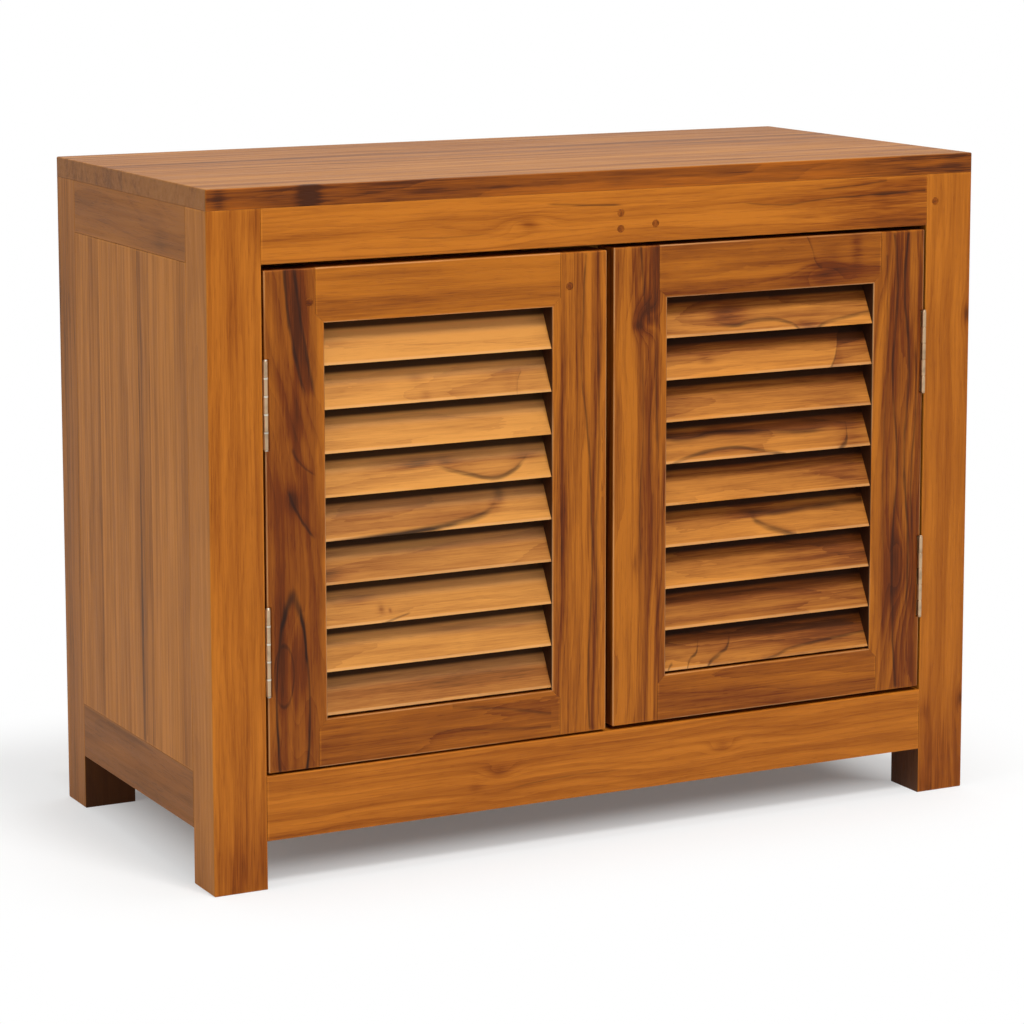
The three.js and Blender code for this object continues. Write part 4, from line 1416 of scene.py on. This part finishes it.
class CABINET_OT_hinges(bpy.types.Operator):
    """Makes the four butt hinges: their leaves, knuckles, pins and screws"""

    bl_idname = "cabinet.hinges"
    bl_label = "Hinges"

    knuckles: IntProperty(
        name="Knuckles", description="Knuckles in the barrel of a hinge", default=5, min=3,
    )

    def execute(self, context):
        self.plated, self.bright = metal("plated_hinge"), metal("bright_screw")
        for side, sign in SIDES.items():
            ringed = side == "left"
            gap = sizes().ring_gap if ringed else sizes().knuckle_gap
            length = (2 * HINGE_HALF - (self.knuckles - 1) * gap) / self.knuckles
            starts = [number * (length + gap) - HINGE_HALF for number in range(self.knuckles)]
            spans = [(start, start + length) for start in starts]
            for height, middle in hinge_places(side):
                stem = f"{side}_{height}_hinge"
                self.make_leaf(f"{stem}_frame_leaf", middle, sign, spans[::2], "carcass")
                self.make_leaf(f"{stem}_door_leaf", middle, -sign, spans[1::2], f"{side}_door")
                self.make_pin(f"{stem}_pin", middle, spans, ringed)
        return {"FINISHED"}

    def make_leaf(self, node, middle, toward, spans, body):
        """A leaf with round corners, sunk screw holes and its own knuckles."""
        shown = middle.x + toward * (BARREL_RADIUS - LEAF_THICKNESS)
        low_x, high_x = sorted((shown, middle.x + toward * BARREL_RADIUS))
        outline = rounded_outline(middle.y + LEAF_START, middle.y + LEAF_END,
                                  middle.z - HINGE_HALF, middle.z + HINGE_HALF, LEAF_CORNER)
        piece = prism(f"{node}_metal", outline, "x", low_x, high_x)
        radius = BARREL_RADIUS - sizes().knuckle_relief
        eased = radius - KNUCKLE_EASING
        tools = []
        for low, high in spans:
            tools.append(block(Vector((low_x, middle.y, middle.z + low)),
                               Vector((high_x, middle.y + NECK_END, middle.z + high))))
            profile = ((0, low), (eased, low), (radius, low + KNUCKLE_EASING),
                       (radius, high - KNUCKLE_EASING), (eased, high), (0, high))
            tools.append(turning("knuckle", profile, middle, "z", FINE_SIDES))
        combine(piece, tools, "UNION")
        sunk = sizes().screw_diameter / 2
        leaf_middle = middle.y + (LEAF_START + LEAF_END) / 2
        seats = [Vector((shown, leaf_middle + side * SCREW_STAGGER, middle.z + rise * HINGE_HALF))
                 for side, rise in ((-1, -SCREW_RISE), (1, 0), (-1, SCREW_RISE))]
        depth = toward * SEAT_DEPTH
        profile = ((0, -depth), (sunk + SEAT_DEPTH, -depth), (sunk - SEAT_DEPTH, depth), (0, depth))
        cutters = [turning("seat", profile, seat, "x") for seat in seats]
        cutters.append(rod("z", middle, PIN_BORE, BORE_HALF))
        combine(piece, cutters)
        smooth(piece)
        finished(piece, body, "hinge_metal", self.plated, node)
        head = sunk - HEAD_PLAY
        profile = (
            (0, -toward * HEAD_PROUD), (head * HEAD_FLAT, -toward * HEAD_PROUD),
            (head, toward * HEAD_EDGE),
            (head - HEAD_SUNK, toward * HEAD_SUNK), (0, toward * HEAD_SUNK),
        )
        cross = (head * CROSS_REACH, CROSS_HALF)
        arms = [Vector((CROSS_DEPTH, *cross)), Vector((CROSS_DEPTH, *reversed(cross)))]
        for number, seat in enumerate(seats, 1):
            name = f"{node}_screw_{number}"
            screw(name, profile, seat, "x", arms, body, "hinge_metal", self.bright)

    def make_pin(self, node, middle, spans, ringed):
        """The pin, with a bright ring between the knuckles where the hinge has them."""
        ring = RING_RADIUS if ringed else COLLAR_RADIUS
        top = [
            (PIN_RADIUS, HEAD_START), (HEAD_RADIUS, HEAD_START),
            (HEAD_RADIUS, HEAD_TOP - HEAD_ROUND), (HEAD_RADIUS - HEAD_ROUND, HEAD_TOP),
            (0, HEAD_TOP),
        ]
        profile = [(radius, -height) for radius, height in reversed(top)]
        for (_, below), (above, _) in zip(spans, spans[1:]):
            low, high = below + RING_PLAY, above - RING_PLAY
            profile += [(PIN_RADIUS, low), (ring, low), (ring, high), (PIN_RADIUS, high)]
        piece = turning(f"{node}_metal", profile + top, middle, "z", FINE_SIDES)
        smooth(piece)
        finished(piece, "carcass", "hinge_metal", self.bright if ringed else self.plated, node)


# The door catch and its poles, and the seats and heads of the strike plates' screws
CATCH_ARRIS, CATCH_TOP_ARRIS = 0.8 * MM, 0.3 * MM
POLE_PROUD, POLE_ROOT, POLE_CORNER = 0.8 * MM, 0.6 * MM, 0.8 * MM
POLE_HALF_WIDTH, POLE_HALF_HEIGHT = 6 * MM, 4 * MM
STRIKE_CORNER = 1.5 * MM
STRIKE_SEAT = ((0, -0.8 * MM), (1.4 * MM, -0.8 * MM), (2.6 * MM, 0.2 * MM), (0, 0.2 * MM))
STRIKE_HEAD = ((0, -0.7 * MM), (1.3 * MM, -0.7 * MM), (2.1 * MM, -0.05 * MM), (0, 0.0))
STRIKE_SLOT = (1.5 * MM, 0.4 * MM, 0.25 * MM)


class CABINET_OT_catch(bpy.types.Operator):
    """Makes the door catch behind the apron, and the strike plates on the doors"""

    bl_idname = "cabinet.catch"
    bl_label = "Catch and strikes"

    def execute(self, context):
        steel = metal("steel_plate")
        low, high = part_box("door_catch")
        pole_face = low.y
        level = (low.z + high.z) / 2
        low.y += POLE_PROUD
        housing = board("door_catch_housing", plan(low, high), "z", low.z, high.z,
                        [CATCH_ARRIS] * 4, (CATCH_ARRIS, CATCH_TOP_ARRIS))
        plastic = moulded("catch_plastic", paints().plastic)
        finished(housing, "carcass", "catch_plastic", plastic, "door_catch")
        for side in SIDES:
            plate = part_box(f"{side}_door_strike_plate")
            middle = (plate[0] + plate[1]) / 2
            outline = rounded_outline(middle.x - POLE_HALF_WIDTH, middle.x + POLE_HALF_WIDTH,
                                      level - POLE_HALF_HEIGHT, level + POLE_HALF_HEIGHT,
                                      POLE_CORNER)
            pole = prism(f"door_catch_{side}_pole", outline, "y", pole_face, low.y + POLE_ROOT)
            smooth(pole, WOOD_CREASE)
            finished(pole, "carcass", "strike_metal", steel)
            self.make_strike(side, *plate, middle, steel)
        return {"FINISHED"}

    def make_strike(self, side, low, high, middle, steel):
        """A strike plate with round corners and one sunk screw."""
        node = f"{side}_door_strike_plate"
        outline = rounded_outline(low.x, high.x, low.z, high.z, STRIKE_CORNER)
        plate = prism(f"{node}_metal", outline, "y", low.y, high.y)
        middle.y = high.y
        combine(plate, [turning("seat", STRIKE_SEAT, middle, "y")])
        smooth(plate)
        finished(plate, f"{side}_door", "strike_metal", steel, node)
        screw(f"{node}_screw", STRIKE_HEAD, middle, "y", [Vector(STRIKE_SLOT)], f"{side}_door",
              "strike_metal", steel)


STEPS = (
    CABINET_OT_stage,
    CABINET_OT_top,
    CABINET_OT_posts,
    CABINET_OT_rails,
    CABINET_OT_panels,
    CABINET_OT_interior,
    CABINET_OT_door_frames,
    CABINET_OT_slats,
    CABINET_OT_hinges,
    CABINET_OT_catch,
)
GROUPS = (
    ("cabinet_shapes", CabinetShapes),
    ("cabinet_colours", CabinetColours),
    ("cabinet_studio", CabinetStudio),
)


class CABINET_PT_sidebar(bpy.types.Panel):
    """Lists the steps and the sizes of the cabinet"""

    bl_idname = "CABINET_PT_sidebar"
    bl_label = "Louvred cabinet"
    bl_space_type = "VIEW_3D"
    bl_region_type = "UI"
    bl_category = "Cabinet"

    def draw(self, context):
        for step in STEPS:
            self.layout.operator(step.bl_idname)
        for name, _ in GROUPS:
            group = getattr(context.scene, name)
            box = self.layout.box()
            for field in group.__annotations__:
                box.prop(group, field)


def register():
    for name, group in GROUPS:
        bpy.utils.register_class(group)
        setattr(bpy.types.Scene, name, PointerProperty(type=group))
    for step in (*STEPS, CABINET_PT_sidebar):
        bpy.utils.register_class(step)


def unregister():
    for step in (CABINET_PT_sidebar, *reversed(STEPS)):
        bpy.utils.unregister_class(step)
    for name, group in reversed(GROUPS):
        delattr(bpy.types.Scene, name)
        bpy.utils.unregister_class(group)


def main():
    register()
    for step in STEPS:
        family, action = step.bl_idname.split(".")
        getattr(getattr(bpy.ops, family), action)()


if __name__ == "__main__":
    main()
